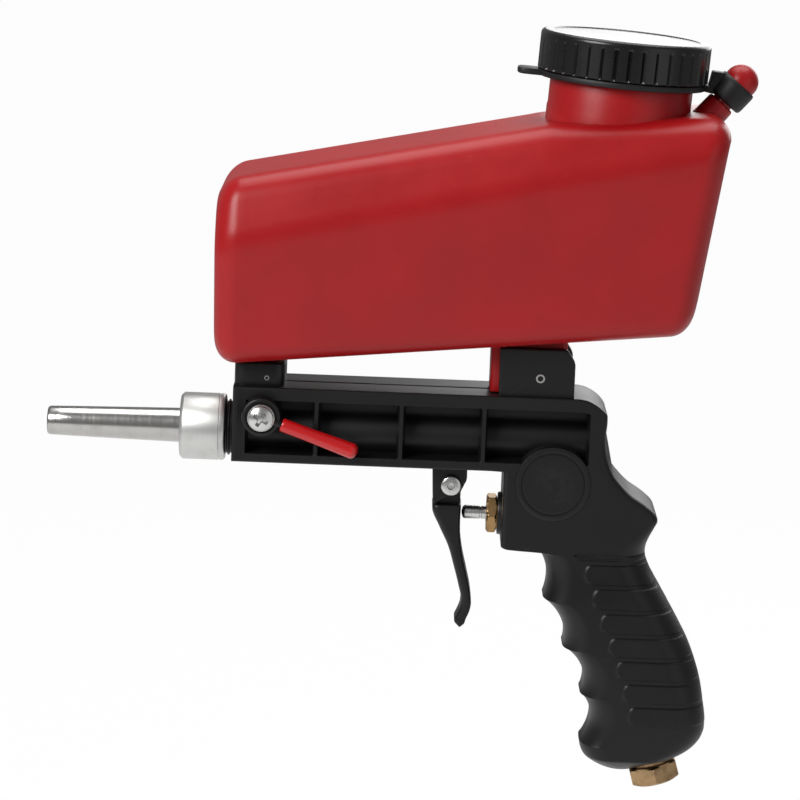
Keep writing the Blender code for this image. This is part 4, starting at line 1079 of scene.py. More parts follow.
    def pads(self, x: Array, z: Array) -> Array:
        """Height of the palm pads: shingles with round front ends, proudest at their lower edges."""
        rise = np.zeros_like(x)
        tops = [self.pad_ends[0][1] + self.pad_first_height] + [low for _, low in self.pad_ends[:-1]]
        for (end, low), high in zip(self.pad_ends, tops):
            high = high - self.pad_groove
            t = np.clip((z - low) / (high - low), 0.0, 1.0)
            start = end + self.pad_end_round * (1 - np.sqrt(np.maximum(1 - (2 * t - 1) ** 2, 0.0)))
            band = step(z, low - 0.12, low + 0.25) - step(z, high - 0.5, high + 0.15)
            slope = 1.0 - 0.45 * t
            rise += self.pad_rise * band * slope * step(x, start - 0.25, start + 0.35)
        return rise

    def hand_grip(self) -> bpy.types.Object:
        """The hand block and grip: level slices with round noses, raised by the pads on both sides."""
        lows = tuple(low for _, low in self.pad_ends)
        edges = lows + tuple(low - self.pad_groove for low in lows)
        heel = self.heel
        coarse = crowded(heel + 1.0, -6.0, 0.42, edges + (-69.6, -85.8, -102.8), 0.5)
        ledge = np.linspace(self.hand_bottom - 1.9, self.hand_bottom + 1.2, 16)
        toe = heel + 1.0 * (1 - np.cos(np.linspace(0.05, math.pi / 2, 8)))
        z = np.unique(np.round(np.concatenate([toe, coarse, ledge]), 3))
        block_front = self.hand_front + 1.1 * (1 - step(z, self.hand_bottom, self.hand_bottom + 1.0))
        front = np.where(z > self.hand_bottom - 0.05, block_front, self.grooved_front(z))
        under = step(z, self.hand_bottom - 0.5, self.hand_bottom + 0.25)
        in_ledge = (z <= self.hand_bottom + 0.25) & (z > self.hand_bottom - 0.5)
        front = np.where(in_ledge, self.ledge_front * under + self.grip_front * (1 - under), front)
        back = self.back(z)
        front = np.minimum(front, back - 0.3)
        swell = self.grip_half * (1 - 0.12 * ((z + 72) / 42) ** 2)
        upper = step(z, -52.0, -36.0)
        foot = np.sqrt(np.clip((z - heel + 0.05) / 6.0, 0.0, 1.0))
        half = ((self.half + 0.02) * upper + swell * (1 - upper)) * foot
        blocky = step(z, self.hand_bottom - 1.6, self.hand_bottom)
        horn = step(z, -40.0, -26.0)
        nose = np.stack([1.6 * blocky + 8.5 * (1 - blocky), 1.6 * blocky + 11.0 * (1 - blocky)], axis=1)
        tail = np.stack([3.2 * horn + 11.0 * (1 - horn), 3.2 * horn + 12.0 * (1 - horn)], axis=1)
        rings = slices(z, front, back, half, nose, tail, 12, 56)
        side = np.sign(rings[..., 1])
        full = np.clip(np.abs(rings[..., 1]) / np.maximum(half[:, None] * 0.35, 1e-6), 0.0, 1.0)
        rings[..., 1] += side * full * self.pads(rings[..., 0], rings[..., 2])
        return skin("hand_grip", rings, crease=50.0)

    def medallions(self) -> list[bpy.types.Object]:
        """A plain round medallion with a ring groove on each side of the hand block, turned about Y."""
        radius = self.medallion_radius
        rise = self.half + 0.5
        profile = np.array((
            (2.0, radius), (rise - 0.45, radius), (rise - 0.12, radius - 0.12), (rise, radius - 0.45),
            (rise, 10.8), (rise - 0.05, 10.6), (rise - 0.25, 10.5), (rise - 0.25, 10.3), (rise - 0.05, 10.2),
            (rise, 10.0), (rise, 9.6), (rise, 0.3),
        ))
        return [
            skin(f"medallion_{side}", turned(self.medallion, (0, way, 0), profile, 120))
            for side, way in (("near", -1), ("far", 1))
        ]

    def posts(self) -> list[bpy.types.Object]:
        """The front post under the hopper's outlet and the two cheeks that hold its rear foot."""
        front = post((0.1, 16.9), (-11.0, 11.0), (14.5, 24.2), 3.2, 0.7)
        pieces = [skin("front_post", front)]
        outline = np.array(((87.7, 14.5), (112.7, 14.5), (112.7, 28.1), (109.9, 32.5), (87.7, 32.5)))
        outline = fillet(outline, (1.4, 1.4, 1.2, 1.2, 1.0), 5)
        for side, low, high in (("near", -12.0, -8.3), ("far", 8.3, 12.0)):
            pieces.append(skin(f"cheek_{side}", slab(outline, low, high, 0.6)))
        return pieces

    def bosses(self) -> list[bpy.types.Object]:
        """The nozzle's neck with its thread, the plug boss, the valve boss and the ears."""
        turns = np.linspace(-9.9, 1.5, 150)
        thread = 9.05 + 0.35 * np.clip(1.6 * np.cos(turns * TAU / 1.5), -1.0, 1.0) * step(-turns, -1.0, 0.2)
        thread *= 1 - 0.08 * step(-turns, 9.2, 9.9)
        neck = skin("threaded_neck", turned((0, 0, 0), (1, 0, 0), np.stack([turns, thread], axis=1), 72))
        plug = np.array((
            (-13.95, 3.8), (-13.95, 5.9), (-13.65, 6.2), (13.65, 6.2), (13.95, 5.9), (13.95, 3.8),
        ))
        boss = skin("plug_boss", turned((9.7, 0, 7.2), (0, 1, 0), plug, 72), hoop=True)
        valve = np.array(((3.0, 7.2), (-0.55, 7.2), (-0.85, 7.1), (-1.0, 6.8), (-1.0, 0.4)))
        valve_boss = skin("valve_boss", turned((90.3, 0, -26.0), (1, 0, 0), valve, 72))
        outline = np.array((
            (66.9, -7.5), (66.9, -10.0), (67.4, -22.2), (76.7, -16.8), (78.6, -14.0), (78.5, -7.5),
        ))
        outline = fillet(outline, (1.2, 0.9, 1.4, 1.8, 1.4, 1.2), 6)
        ears = [
            skin(f"ear_{side}", slab(outline, low, high, 0.5))
            for side, low, high in (("near", -7.0, -3.9), ("far", 3.9, 7.0))
        ]
        return [neck, boss, valve_boss, *ears]

    def build(self) -> None:
        """Makes every piece of the moulding and dresses it."""
        WARDROBE.dress(self.barrel_block(), BLACK_BODY, Part.GUN, ("gun_body",))
        for piece in (self.hand_grip(), *self.medallions(), *self.posts(), *self.bosses()):
            WARDROBE.dress(piece, BLACK_BODY, Part.GUN)


# --- Hopper -----------------------------------------------------------------------------------------------


@dataclass
class Hopper:
    """The red grit hopper with its filler neck, rear foot and tether post."""

    front: float = -6.8
    rear_low: float = 150.8
    rear_high: float = 159.2
    floor_at_zero: float = 24.6
    floor_slope: float = 0.10
    crease_at_zero: float = 67.0
    crease_slope: float = 0.233
    top_at_zero: float = 87.2
    top_slope: float = 0.205
    break_x: float = 100.0
    rear_height: float = 112.6
    halves: tuple[float, float, float] = (22.0, 33.0, 27.0)
    rounding: float = 6.0
    end_rounding: float = 8.0
    filler_radius: float = 23.5
    filler_bore: float = 20.5
    cap_base: Triple = (123.9, 0.0, 120.4)
    tilt: float = 3.5
    ball: Triple = (163.0, 0.0, 122.0)
    ball_radius: float = 5.7
    post_axis: Triple = (0.644, 0.0, 0.764)

    def cap_axis(self) -> Triple:
        """Direction of the filler neck."""
        lean = math.radians(self.tilt)
        return (math.sin(lean), 0.0, math.cos(lean))

    def heights(self, kind: int, x: Array) -> Array:
        """Height of the floor (0), of the crease (1) or of the top (2) at x; the top bends at break_x."""
        if kind == 0:
            return self.floor_at_zero + self.floor_slope * x
        if kind == 1:
            return self.crease_at_zero + self.crease_slope * x
        bend = self.top_at_zero + self.top_slope * self.break_x
        after = bend + (self.rear_height - bend) * (x - self.break_x) / (self.rear_high - self.break_x)
        soft = step(x, self.break_x - 6, self.break_x + 6)
        return (self.top_at_zero + self.top_slope * x) * (1 - soft) + after * soft

    def shell(self) -> bpy.types.Object:
        """The hopper's body: six-cornered sections along X with rounded corners, drawn in towards both ends.

        A corner's X runs from the front plane to the slanted rear plane. Within the end rounding r of a
        plane, the whole section moves inwards by r - sqrt(r^2 - (r - t)^2), where t is the distance from it.
        """
        r = self.end_rounding
        turn = np.linspace(0.0, math.pi / 2, 15)
        rear_length = self.rear_high - self.front
        ends = r * (1 - np.cos(turn))
        near_end = ends / rear_length
        share = np.unique(np.concatenate([near_end, np.linspace(0.06, 0.94, 66), 1 - near_end]))
        corners = []
        rear_run = self.rear_high - self.rear_low
        for kind in range(3):
            rear = np.full_like(share, self.rear_low)
            for _ in range(5):
                floor = self.heights(0, rear)
                part = (self.heights(kind, rear) - floor) / (self.rear_height - floor)
                rear = self.rear_low + rear_run * part
            x = self.front + share * (rear - self.front)
            t = np.minimum(x - self.front, rear - x)
            inset = r - np.sqrt(np.maximum(r**2 - np.maximum(r - t, 0.0) ** 2, 0.0))
            lift = np.array((1.0, 0.0, -1.0))[kind] * inset
            corners.append(np.stack([x, self.halves[kind] - inset, self.heights(kind, x) + lift], axis=-1))
        far = np.stack(corners, axis=1)
        near = far * (1, -1, 1)
        section = np.concatenate([near, far[:, ::-1]], axis=1)
        radii = np.array((self.rounding * 1.3, 5.0, self.rounding * 1.3))
        rounded = fillet(section, np.concatenate([radii, radii[::-1]]), 9)
        return skin("hopper_shell", self.filled(rounded), crease=60.0)

    def filled(self, rings: Array, most: float = 4.0) -> Array:
        """Adds points along the long sides of each ring, so that none is longer than most."""
        gaps = np.linalg.norm(np.roll(rings[20], -1, axis=0) - rings[20], axis=1)
        parts = []
        following = np.roll(rings, -1, axis=1)
        for k, gap in enumerate(gaps):
            count = max(1, int(math.ceil(gap / most)))
            t = np.arange(count)[None, :, None] / count
            parts.append(rings[:, k : k + 1] * (1 - t) + following[:, k : k + 1] * t)
        return np.concatenate(parts, axis=1)

    def filler_neck(self) -> bpy.types.Object:
        """The round neck: a tube about the cap's axis with a soft rim and a swage at its root."""
        bore, radius = self.filler_bore, self.filler_radius
        profile = np.array((
            (-17.0, bore), (-17.0, radius + 0.3), (-9.6, radius + 0.25), (-8.4, radius), (10.0, radius),
            (10.8, radius - 0.4), (11.1, radius - 1.1), (11.1, bore + 0.8), (10.8, bore + 0.2), (10.2, bore),
        ))
        return skin("filler_neck_red", turned(self.cap_base, self.cap_axis(), profile, 144), hoop=True)

    def tether_post(self) -> bpy.types.Object:
        """The post for the tether: a tapered shaft, a groove and a ball, turned about the post's axis."""
        turn = np.linspace(math.radians(222), 0.0, 26)
        ball = np.stack([self.ball_radius * np.cos(turn), self.ball_radius * np.sin(turn)], axis=1)
        ball = ball[ball[:, 1] > 0.15]
        shaft = np.array((
            (-22.0, 0.2), (-22.0, 5.3), (-16.0, 5.0), (-10.2, 4.8), (-9.6, 4.65), (-9.35, 4.3),
            (-9.3, 3.6), (-4.6, 3.6),
        ))
        return skin("tether_post", turned(self.ball, self.post_axis, np.concatenate([shaft, ball]), 72))

    def foot(self) -> bpy.types.Object:
        """The red foot between the cheeks, with rounded upright edges and a top that follows the floor."""
        rings = post((84.8, 110.1), (-8.0, 8.0), (16.8, 38.0), 1.6, 0.5)
        roof = self.heights(0, rings[..., 0]) + 0.6
        share = (rings[..., 2] - 16.8) / (38.0 - 16.8)
        rings[..., 2] = 16.8 + share * (roof - 16.8)
        return skin("hopper_foot_red", rings)

    def build(self) -> None:
        """Makes and dresses the hopper's pieces."""
        WARDROBE.dress(self.shell(), RED_HOPPER, Part.GUN, ("hopper",))
        WARDROBE.dress(self.filler_neck(), RED_HOPPER, Part.GUN, ("filler_neck",))
        WARDROBE.dress(self.tether_post(), RED_HOPPER, Part.GUN)
        WARDROBE.dress(self.foot(), RED_HOPPER, Part.GUN, ("hopper_foot",))
        WARDROBE.paint("outlet_spigot", RED_HOPPER)


# --- Cap and tether ---------------------------------------------------------------------------------------


@dataclass
class Cap:
    """The ribbed screw cap, the ring that it turns in, the ring's pull tab and the strap to the post."""

    hopper: Hopper
    radius: float = 28.0
    low: float = 2.3
    height: float = 15.2
    ribs: int = 38
    rib_depth: float = 0.75
    bore: float = 24.0
    ring_radius: float = 27.7
    tab_reach: float = 34.5

    def ribbed(self, height: Array, radius: Array, angle: Array) -> tuple[Array, Array]:
        """Sinks grooves between the skirt's ribs: depth * smooth step of |sin(n a / 2)|."""
        wave = np.abs(np.sin(self.ribs * angle / 2))
        groove = 1 - step(wave, 0.12, 0.42)
        skirt = (radius > self.radius - 1.2) * step(height, self.low, self.low + 0.5)
        skirt = skirt * (1 - step(height, self.height - 3.0, self.height - 2.2))
        return height, radius - self.rib_depth * groove * skirt

    def cap(self) -> bpy.types.Object:
        """The cap: one profile from the hollow's middle, round the skirt, to the middle of the top."""
        top = self.height
        turn = np.linspace(0.0, math.pi / 2, 7)
        edge = np.stack([top - 1.5 * (1 - np.sin(turn)), self.radius - 1.5 * (1 - np.cos(turn))], axis=1)
        skirt = np.linspace(self.low + 0.3, top - 1.6, 34)
        profile = np.concatenate([
            ((top - 2.2, 0.3), (top - 2.2, self.bore - 0.6), (top - 2.8, self.bore), (self.low, self.bore)),
            ((self.low, self.radius - 0.35),),
            np.stack([skirt, np.full_like(skirt, self.radius)], axis=1),
            edge,
            ((top, 24.6), (top - 0.12, 24.3), (top - 0.35, 24.0), (top - 0.4, 23.6), (top - 0.4, 0.3)),
        ])
        rings = turned(self.hopper.cap_base, self.hopper.cap_axis(), profile, self.ribs * 12, self.ribbed)
        return skin("screw_cap", rings, crease=34.0)

    def carried(self, points: Array) -> Array:
        """Turns points from the cap's own upright axes to its leaning ones."""
        lean = math.radians(self.hopper.tilt)
        x, y, z = np.moveaxis(points, -1, 0)
        turned_x = x * math.cos(lean) + z * math.sin(lean)
        turned_z = z * math.cos(lean) - x * math.sin(lean)
        return np.stack([turned_x, y, turned_z], axis=-1) + np.array(self.hopper.cap_base)

    def ring(self) -> bpy.types.Object:
        """The collar ring with round edges, bulged out into the pull tab at its front.

        The outer radius grows from the ring's to the tab's where the point lies within the tab's half width
        of the front line; the tab's end is rounded.
        """
        profile = np.array((
            (0.0, self.bore + 0.1), (0.0, self.ring_radius - 0.5), (0.2, self.ring_radius - 0.1),
            (0.6, self.ring_radius), (1.5, self.ring_radius), (1.85, self.ring_radius - 0.15),
            (2.0, self.ring_radius - 0.5), (2.0, self.bore + 0.1),
        ))
        half_angle = 5.0 / self.ring_radius
        sides = 360

        def tabbed(height: Array, radius: Array, angle: Array) -> tuple[Array, Array]:
            """Draws the outer points of the front sector out to the tab's rounded end."""
            off = (angle - math.pi / 2 + math.pi) % TAU - math.pi
            share = np.clip(np.abs(off) / half_angle, 0.0, 1.0)
            reach = (self.tab_reach - self.ring_radius) * np.sqrt(np.maximum(1 - share**6, 0.0))
            return height, radius + reach * (radius > self.ring_radius - 1.0)

        up = basis((0, 0, 1))[2]
        rings = turned((0, 0, 0), (0, 0, 1), profile, sides, tabbed)
        turn = math.atan2(float(up[1]), float(up[0]))
        x, y, z = np.moveaxis(rings, -1, 0)
        spin = math.pi - turn
        rings = np.stack(
            [x * math.cos(spin) - y * math.sin(spin), x * math.sin(spin) + y * math.cos(spin), z], axis=-1
        )
        return skin("tether_collar", self.carried(rings), hoop=True)

    def loop(self) -> bpy.types.Object:
        """The strap's eye round the post, cupped about the ball's lower half."""
        profile = np.array((
            (-8.6, 3.75), (-8.6, 5.4), (-8.4, 6.0), (-7.9, 6.35), (-7.0, 6.5), (-2.4, 6.6), (-1.4, 6.5),
            (-0.95, 6.25), (-0.8, 6.0), (-0.85, 5.8), (-2.5, 5.25), (-4.0, 4.2), (-4.6, 3.75),
        ))
        return skin("tether_eye", turned(self.hopper.ball, self.hopper.post_axis, profile, 72), hoop=True)

    def band(self) -> bpy.types.Object:
        """The band from the collar to the eye: a rounded bar swept along X with a slight sag."""
        t = np.linspace(0.0, 1.0, 40)
        x = 25.5 + (self.tab_reach + 1.2 - 25.5) * t
        outline = ring_outline((-3.2, 3.2), (0.0, 1.0), 0.28)
        low = 0.1 - 0.5 * np.sin(math.pi * t) - 0.6 * t
        high = 1.9 + 4.9 * step(x, self.radius + 0.3, self.radius + 1.4) - 0.4 * t
        y = np.broadcast_to(outline[None, :, 0], (len(t), len(outline)))
        z = low[:, None] + (high - low)[:, None] * outline[None, :, 1]
        rings = np.stack([np.broadcast_to(x[:, None], y.shape), y, z], axis=-1)
        return skin("tether_band", self.carried(rings))

    def build(self) -> None:
        """Makes and dresses the cap's pieces, and gives the band its material."""
        WARDROBE.dress(self.cap(), BLACK_CAP, Part.CAP, ("hopper_cap",))
        WARDROBE.dress(self.ring(), TETHER, Part.CAP_RING, ("tether_ring",))
        WARDROBE.dress(self.loop(), TETHER, Part.GUN, ("tether_strap",))
        band = self.band()
        band.data.materials.append(WARDROBE.material(TETHER))
        start = DATUM.spot((151.0, 0.0, 121.0))
        end = DATUM.spot((158.5, 0.0, 121.0))
        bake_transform(band)
        WARDROBE.paint("cap_liner", SEAL)


# --- Nozzle, nut and inlet --------------------------------------------------------------------------------


@dataclass
class Nozzle:
    """The tapered steel nozzle and the aluminium nut that clamps it."""

    tip: float = -62.3
    tip_radius: float = 4.8
    root_radius: float = 5.8
    bore: float = 3.2
    nut_front: float = -17.8
    nut_rear: float = -2.7
    nut_radius: float = 11.2

    def nozzle(self) -> bpy.types.Object:
        """The nozzle: a tapered tube with a rounded tip and a flange inside the nut."""
        t = np.linspace(0.0, 1.0, 7)
        run = self.nut_front + 3.3 - self.tip
        taper = np.stack([
            self.tip + 0.9 + (run - 0.9) * t, self.tip_radius + (self.root_radius - self.tip_radius) * t**0.9
        ], axis=1)
        profile = np.concatenate([
            ((-11.5, self.bore), (self.tip + 1.2, self.bore), (self.tip + 0.4, self.bore + 0.25)),
            ((self.tip, self.bore + 0.6), (self.tip, self.tip_radius - 0.6)),
            ((self.tip + 0.3, self.tip_radius - 0.2),),
            taper,
            ((self.nut_front + 3.3, 8.5), (-11.5, 8.5)),
        ])
        return skin("nozzle_tube", turned((0, 0, 0), (1, 0, 0), profile, 128), hoop=True)

    def nut(self) -> bpy.types.Object:
        """The nut: a turned ring with chamfers, a shallow waist line near its rear and a threaded bore."""
        low, high, radius = self.nut_front, self.nut_rear, self.nut_radius
        hole = self.root_radius + 0.3
        profile = np.array((
            (low + 0.3, hole), (low, hole + 0.3), (low, radius - 1.1), (low + 0.25, radius - 0.8),
            (low + 0.9, radius - 0.15), (low + 1.2, radius), (high - 2.2, radius),
            (high - 2.0, radius - 0.2), (high - 1.7, radius - 0.2), (high - 1.5, radius),
            (high - 0.9, radius), (high - 0.3, radius - 0.25), (high, radius - 0.8), (high, 9.9),
            (high - 0.4, 9.7), (low + 3.0, 9.7), (low + 3.0, hole),
        ))
        return skin("clamp_nut", turned((0, 0, 0), (1, 0, 0), profile, 128), hoop=True, crease=30.0)

    def build(self) -> None:
        """Makes and dresses the nozzle, its nut and its seal."""
        WARDROBE.dress(self.nozzle(), STEEL, Part.NOZZLE, ("nozzle",))
        WARDROBE.dress(self.nut(), ALUMINIUM, Part.NUT, ("nozzle_nut",))
        WARDROBE.paint("nozzle_seal", SEAL)
        WARDROBE.paint("air_jet", BRASS_X)
        WARDROBE.paint("air_tube", BRASS_X)


@dataclass
class Inlet:
    """The brass inlet fitting under the grip."""

    base: Triple = (145.6, 0.0, -110.6)
    tilt: float = 16.0
    flats: float = 16.0
    length: float = 6.4
    bore: float = 5.5

    def build(self) -> None:
        """Makes the fitting: a chamfered hexagon with a bore, thread lines in the bore, and a shank."""
        lean = math.radians(self.tilt)
        axis = (math.sin(lean), 0.0, -math.cos(lean))
        turns = np.linspace(self.length - 0.8, -12.0, 90)
        thread = self.bore + 0.18 * np.cos(turns * TAU / 1.3)
        rim = np.stack([turns, thread], axis=1)
        profile = np.concatenate([
            ((-12.0, 6.9), (0.0, 6.9), (0.0, 20.0)),
            np.stack([np.linspace(0.15, self.length - 0.15, 14), np.full(14, 20.0)], axis=1),
            ((self.length, 20.0), (self.length, self.bore + 0.7), (self.length - 0.6, self.bore + 0.2)),
            rim,
        ])
        hexagon = hexagonal(self.flats, (0.0, self.length), 15.0)
        rings = turned(self.base, axis, profile, 144, hexagon)
        piece = skin("inlet_hexagon", rings, hoop=True, crease=25.0)
        finish = TurnedMetal(
            name="brass_inlet",
            slot=Slot.BRASS,
            colour=(0.40, 0.265, 0.14),
            tarnish=(0.12, 0.07, 0.035),
            roughness=0.30,
            centre=self.base,
            axis=axis,
            cloudy=0.8,
        )
        WARDROBE.dress(piece, finish, Part.GUN, ("inlet_fitting",))


# --- Sand valve -------------------------------------------------------------------------------------------


@dataclass
class SandValve:
    """The lever that turns the sand valve: black hub and rod, red sleeve, and a cross-headed screw."""

    centre: Triple = (9.7, 0.0, 7.2)
    angle: float = -18.7
    length: float = 33.8
    hub_inner: float = -14.3
    hub_outer: float = -18.3
    hub_radius: float = 6.5
    rod_y: float = -17.2

    def recessed(self, height: Array, radius: Array, angle: Array) -> tuple[Array, Array]:
        """Sinks a cross into the screw head, within a slot's half width of either axis."""
        x, y = radius * np.cos(angle + 0.5), radius * np.sin(angle + 0.5)
        slot = np.minimum(np.abs(x), np.abs(y))
        cross = (1 - step(slot, 0.45, 0.65)) * (1 - step(radius, 2.3, 2.7))
        core = 1 - step(radius, 1.0, 1.3)
        face = height > 4.9
        return height - 1.5 * np.maximum(cross, core) * face, radius

    def build(self) -> None:
        """Makes and dresses the lever's pieces; the plug, its rings and its clip stay as CAD solids."""
        lean = math.radians(self.angle)
        along = (math.cos(lean), 0.0, math.sin(lean))
        outer, inner = -self.hub_outer, -self.hub_inner
        hub = np.array((
            (inner, 1.8), (inner, self.hub_radius), (outer - 1.0, self.hub_radius), (outer - 0.4, 6.35),
            (outer - 0.1, 6.1), (outer, 5.75), (outer, 5.2), (outer - 0.35, 5.0), (outer - 0.35, 1.8),
        ))
        hub_piece = skin("lever_hub", turned(self.centre, (0, -1, 0), hub, 96), hoop=True)
        start = np.array((self.centre[0], self.rod_y, self.centre[2]))
        rod_end = self.length - 1.3
        rod = np.array(((4.6, 0.2), (4.6, 1.6), (6.2, 1.45), (7.6, 1.2), (rod_end, 1.2), (rod_end, 0.2)))
        rod_piece = skin("lever_rod", turned(tuple(start), along, rod, 48))
        WARDROBE.dress(hub_piece, BLACK_BODY, Part.SAND_VALVE, ("lever_arm",))
        WARDROBE.dress(rod_piece, BLACK_BODY, Part.SAND_VALVE)

        turn = np.linspace(0.0, math.pi / 2, 10)
        tip = np.stack([self.length - 2.2 * (1 - np.sin(turn)), 2.62 * np.cos(turn) ** 0.8 + 0.05], axis=1)
        t = np.linspace(0.0, 1.0, 24)
        wall = np.stack([8.0 + (self.length - 2.4 - 8.0) * t, 2.3 + 0.3 * step(t, 0.3, 1.0)], axis=1)
        sleeve = np.concatenate([
            ((self.length - 0.9, 0.3), (self.length - 0.9, 1.5), (7.5, 1.5)),
            ((7.15, 1.7), (7.1, 2.0), (7.4, 2.25)),
            wall,
            tip[:-1],
            ((self.length, 0.3),),
        ])
        sleeve_piece = skin("lever_vinyl_sleeve", turned(tuple(start), along, sleeve, 72))
        WARDROBE.dress(sleeve_piece, RED_VINYL, Part.SAND_VALVE, ("lever_sleeve",))

        head_low = -self.hub_outer + 0.3 + 0.8 + 0.3 - 14.0
        radii = np.linspace(3.95, 0.15, 42)
        dome = head_low + 2.2 - 0.075 * radii**2
        screw = np.concatenate([
            ((-9.0, 0.2), (-9.0, 1.5), (head_low, 1.5), (head_low, 4.0), (head_low + 0.5, 4.1)),
            ((head_low + 0.85, 4.06),),
            np.stack([dome, radii], axis=1),
        ])
        seat = (self.centre[0], -14.0, self.centre[2])
        screw_rings = turned(seat, (0, -1, 0), screw, 120, self.recessed)
        screw_piece = skin("lever_screw_cross", screw_rings, crease=30.0)
        pin = pin_finish("lever", self.centre, (0, 1, 0))
        WARDROBE.dress(screw_piece, pin, Part.SAND_VALVE, ("lever_screw",))
        washer = np.array(((0.3, 1.8), (0.3, 4.35), (0.45, 4.5), (0.95, 4.5), (1.1, 4.35), (1.1, 1.8)))
        place = (self.centre[0], self.hub_outer, self.centre[2])
        washer_piece = skin("lever_flat_washer", turned(place, (0, -1, 0), washer, 96), hoop=True)
        WARDROBE.dress(washer_piece, pin, Part.SAND_VALVE, ("lever_washer",))
        for node in ("sand_valve_plug", "plug_clip"):
            WARDROBE.paint(node, pin)
        for node in ("plug_oring_near", "plug_oring_far", "hopper_gasket"):
            WARDROBE.paint(node, SEAL)


# --- Trigger and air valve --------------------------------------------------------------------------------


@dataclass
class Trigger:
    """The trigger, its pin, and the air valve that it pushes."""

    pin: Triple = (73.3, 0.0, -15.5)
    eye: float = 4.6
    tongue_half: float = 3.55
    finger_half: float = 6.5
    shoulder: float = -22.75
    tip: float = -64.6
    valve_z: float = -26.0
    hex_rear: float = 89.0
    hex_length: float = 3.4

    def finger(self) -> bpy.types.Object:
        """The trigger as level slices: a round eye between the ears, then the finger down to its hook."""
        upper = self.pin[2] + self.eye * np.cos(np.linspace(0.06, math.pi / 2, 14))
        neck = np.linspace(self.pin[2] - 0.4, self.shoulder + 0.2, 14)
        rim = self.shoulder - np.array((0.0, 0.08, 0.2, 0.4, 0.7, 1.1, 1.6))
        lower = np.linspace(self.shoulder - 2.0, self.tip + 1.6, 110)
        end = self.tip + 1.6 * (1 - np.sin(np.linspace(0.1, math.pi / 2 - 0.12, 8)))
        z = np.concatenate([upper, neck, rim, lower, end])
        front_knots = np.array((
            (-64.8, 77.9), (-63.6, 76.5), (-62.3, 76.25), (-60.8, 76.9), (-58.2, 77.9), (-55.0, 78.2),
            (-50.0, 77.1), (-44.0, 75.4), (-37.0, 73.2), (-30.0, 69.8), (-24.6, 67.4), (-22.9, 67.3),
        ))
        back_knots = np.array((
            (-64.8, 78.3), (-64.1, 79.3), (-62.0, 80.2), (-59.5, 81.2), (-57.0, 81.7), (-53.0, 81.3),
            (-46.0, 79.7), (-40.0, 78.2), (-34.0, 77.2), (-28.0, 76.9), (-22.9, 77.0),
        ))
        circle = np.sqrt(np.maximum(self.eye**2 - (z - self.pin[2]) ** 2, 0.02))
        inside = z > self.shoulder
        eye_front = np.where(z > self.pin[2], self.pin[0] - circle, self.pin[0] - self.eye)
        tongue_back = self.pin[0] + self.eye - 1.2 * step(-z, 15.5, 19.0)
        eye_back = np.where(z > self.pin[2], self.pin[0] + circle, tongue_back)
        front = np.where(inside, eye_front, smooth_curve(z, front_knots))
        back = np.where(inside, eye_back, smooth_curve(z, back_knots))
        wide = self.finger_half - 0.5 * np.exp(-np.maximum(self.shoulder - z, 0.0) / 0.35)
        wide = wide * (1 - 0.12 * step(-z, 48.0, 64.0))
        half = np.where(inside, self.tongue_half, wide)
        nose = np.where(inside[:, None], (0.5, 0.5), (2.2, 2.4))
        tail = np.where(inside[:, None], (0.5, 0.5), (1.2, 1.3))
        return skin("trigger_finger", slices(z, front, back, half, nose, tail, 9, 14), crease=50.0)

    def build(self) -> None:
        """Makes and dresses the trigger, its pin and clip, the gland nut and the stem."""
        WARDROBE.dress(self.finger(), BLACK_BODY, Part.TRIGGER, ("trigger",))
        finish = pin_finish("trigger", self.pin, (0, 1, 0))
        head = np.array((
            (-6.9, 0.2), (-6.9, 1.75), (7.3, 1.75), (7.3, 3.3), (7.5, 3.4), (8.2, 3.4), (8.55, 3.3),
            (8.8, 3.0), (8.95, 2.2), (9.0, 1.3), (8.75, 1.05), (8.7, 0.2),
        ))
        pin_piece = skin("trigger_rivet", turned(self.pin, (0, -1, 0), head, 96))
        WARDROBE.dress(pin_piece, finish, Part.GUN, ("trigger_pin",))
        WARDROBE.paint("trigger_pin_clip", finish)

        centre = (0.0, 0.0, self.valve_z)
        low, high = self.hex_rear - self.hex_length, self.hex_rear
        grid = np.stack([np.linspace(low + 0.12, high - 0.12, 12), np.full(12, 12.0)], axis=1)
        gland = np.concatenate([
            ((high + 8.0, 2.6), (low + 0.3, 2.6), (low, 2.95), (low, 12.0)), grid,
            ((high, 12.0), (high, 5.3), (high + 8.0, 5.3)),
        ])
        hexagon = hexagonal(12.0, (low, high), 9.0)
        nut = skin("gland_hexagon", turned(centre, (1, 0, 0), gland, 144, hexagon), hoop=True, crease=25.0)
        WARDROBE.dress(nut, BRASS_X, Part.GUN, ("gland_nut",))
        turn = np.linspace(0.12, math.pi / 2, 8)
        tip = np.stack([78.5 - 1.2 * np.cos(turn), 2.3 * np.sin(turn)], axis=1)
        stem = np.concatenate([
            tip,
            ((83.2, 2.3), (83.4, 2.1), (83.9, 2.1), (84.1, 2.3), (105.5, 2.3), (105.5, 4.4), (108.5, 4.4)),
            ((108.5, 1.5), (113.2, 1.5), (113.5, 1.2), (113.5, 0.2)),
        ])
        stem_piece = skin("valve_push_stem", turned(centre, (1, 0, 0), stem, 72))
        WARDROBE.dress(stem_piece, pin_finish("stem", centre, (1, 0, 0)), Part.AIR_VALVE, ("valve_stem",))
        WARDROBE.paint("valve_spring", pin_finish("stem", centre, (1, 0, 0)))
        WARDROBE.paint("valve_seat", BRASS_X)
        WARDROBE.paint("stem_seal", SEAL)


# --- Hopper pins ------------------------------------------------------------------------------------------


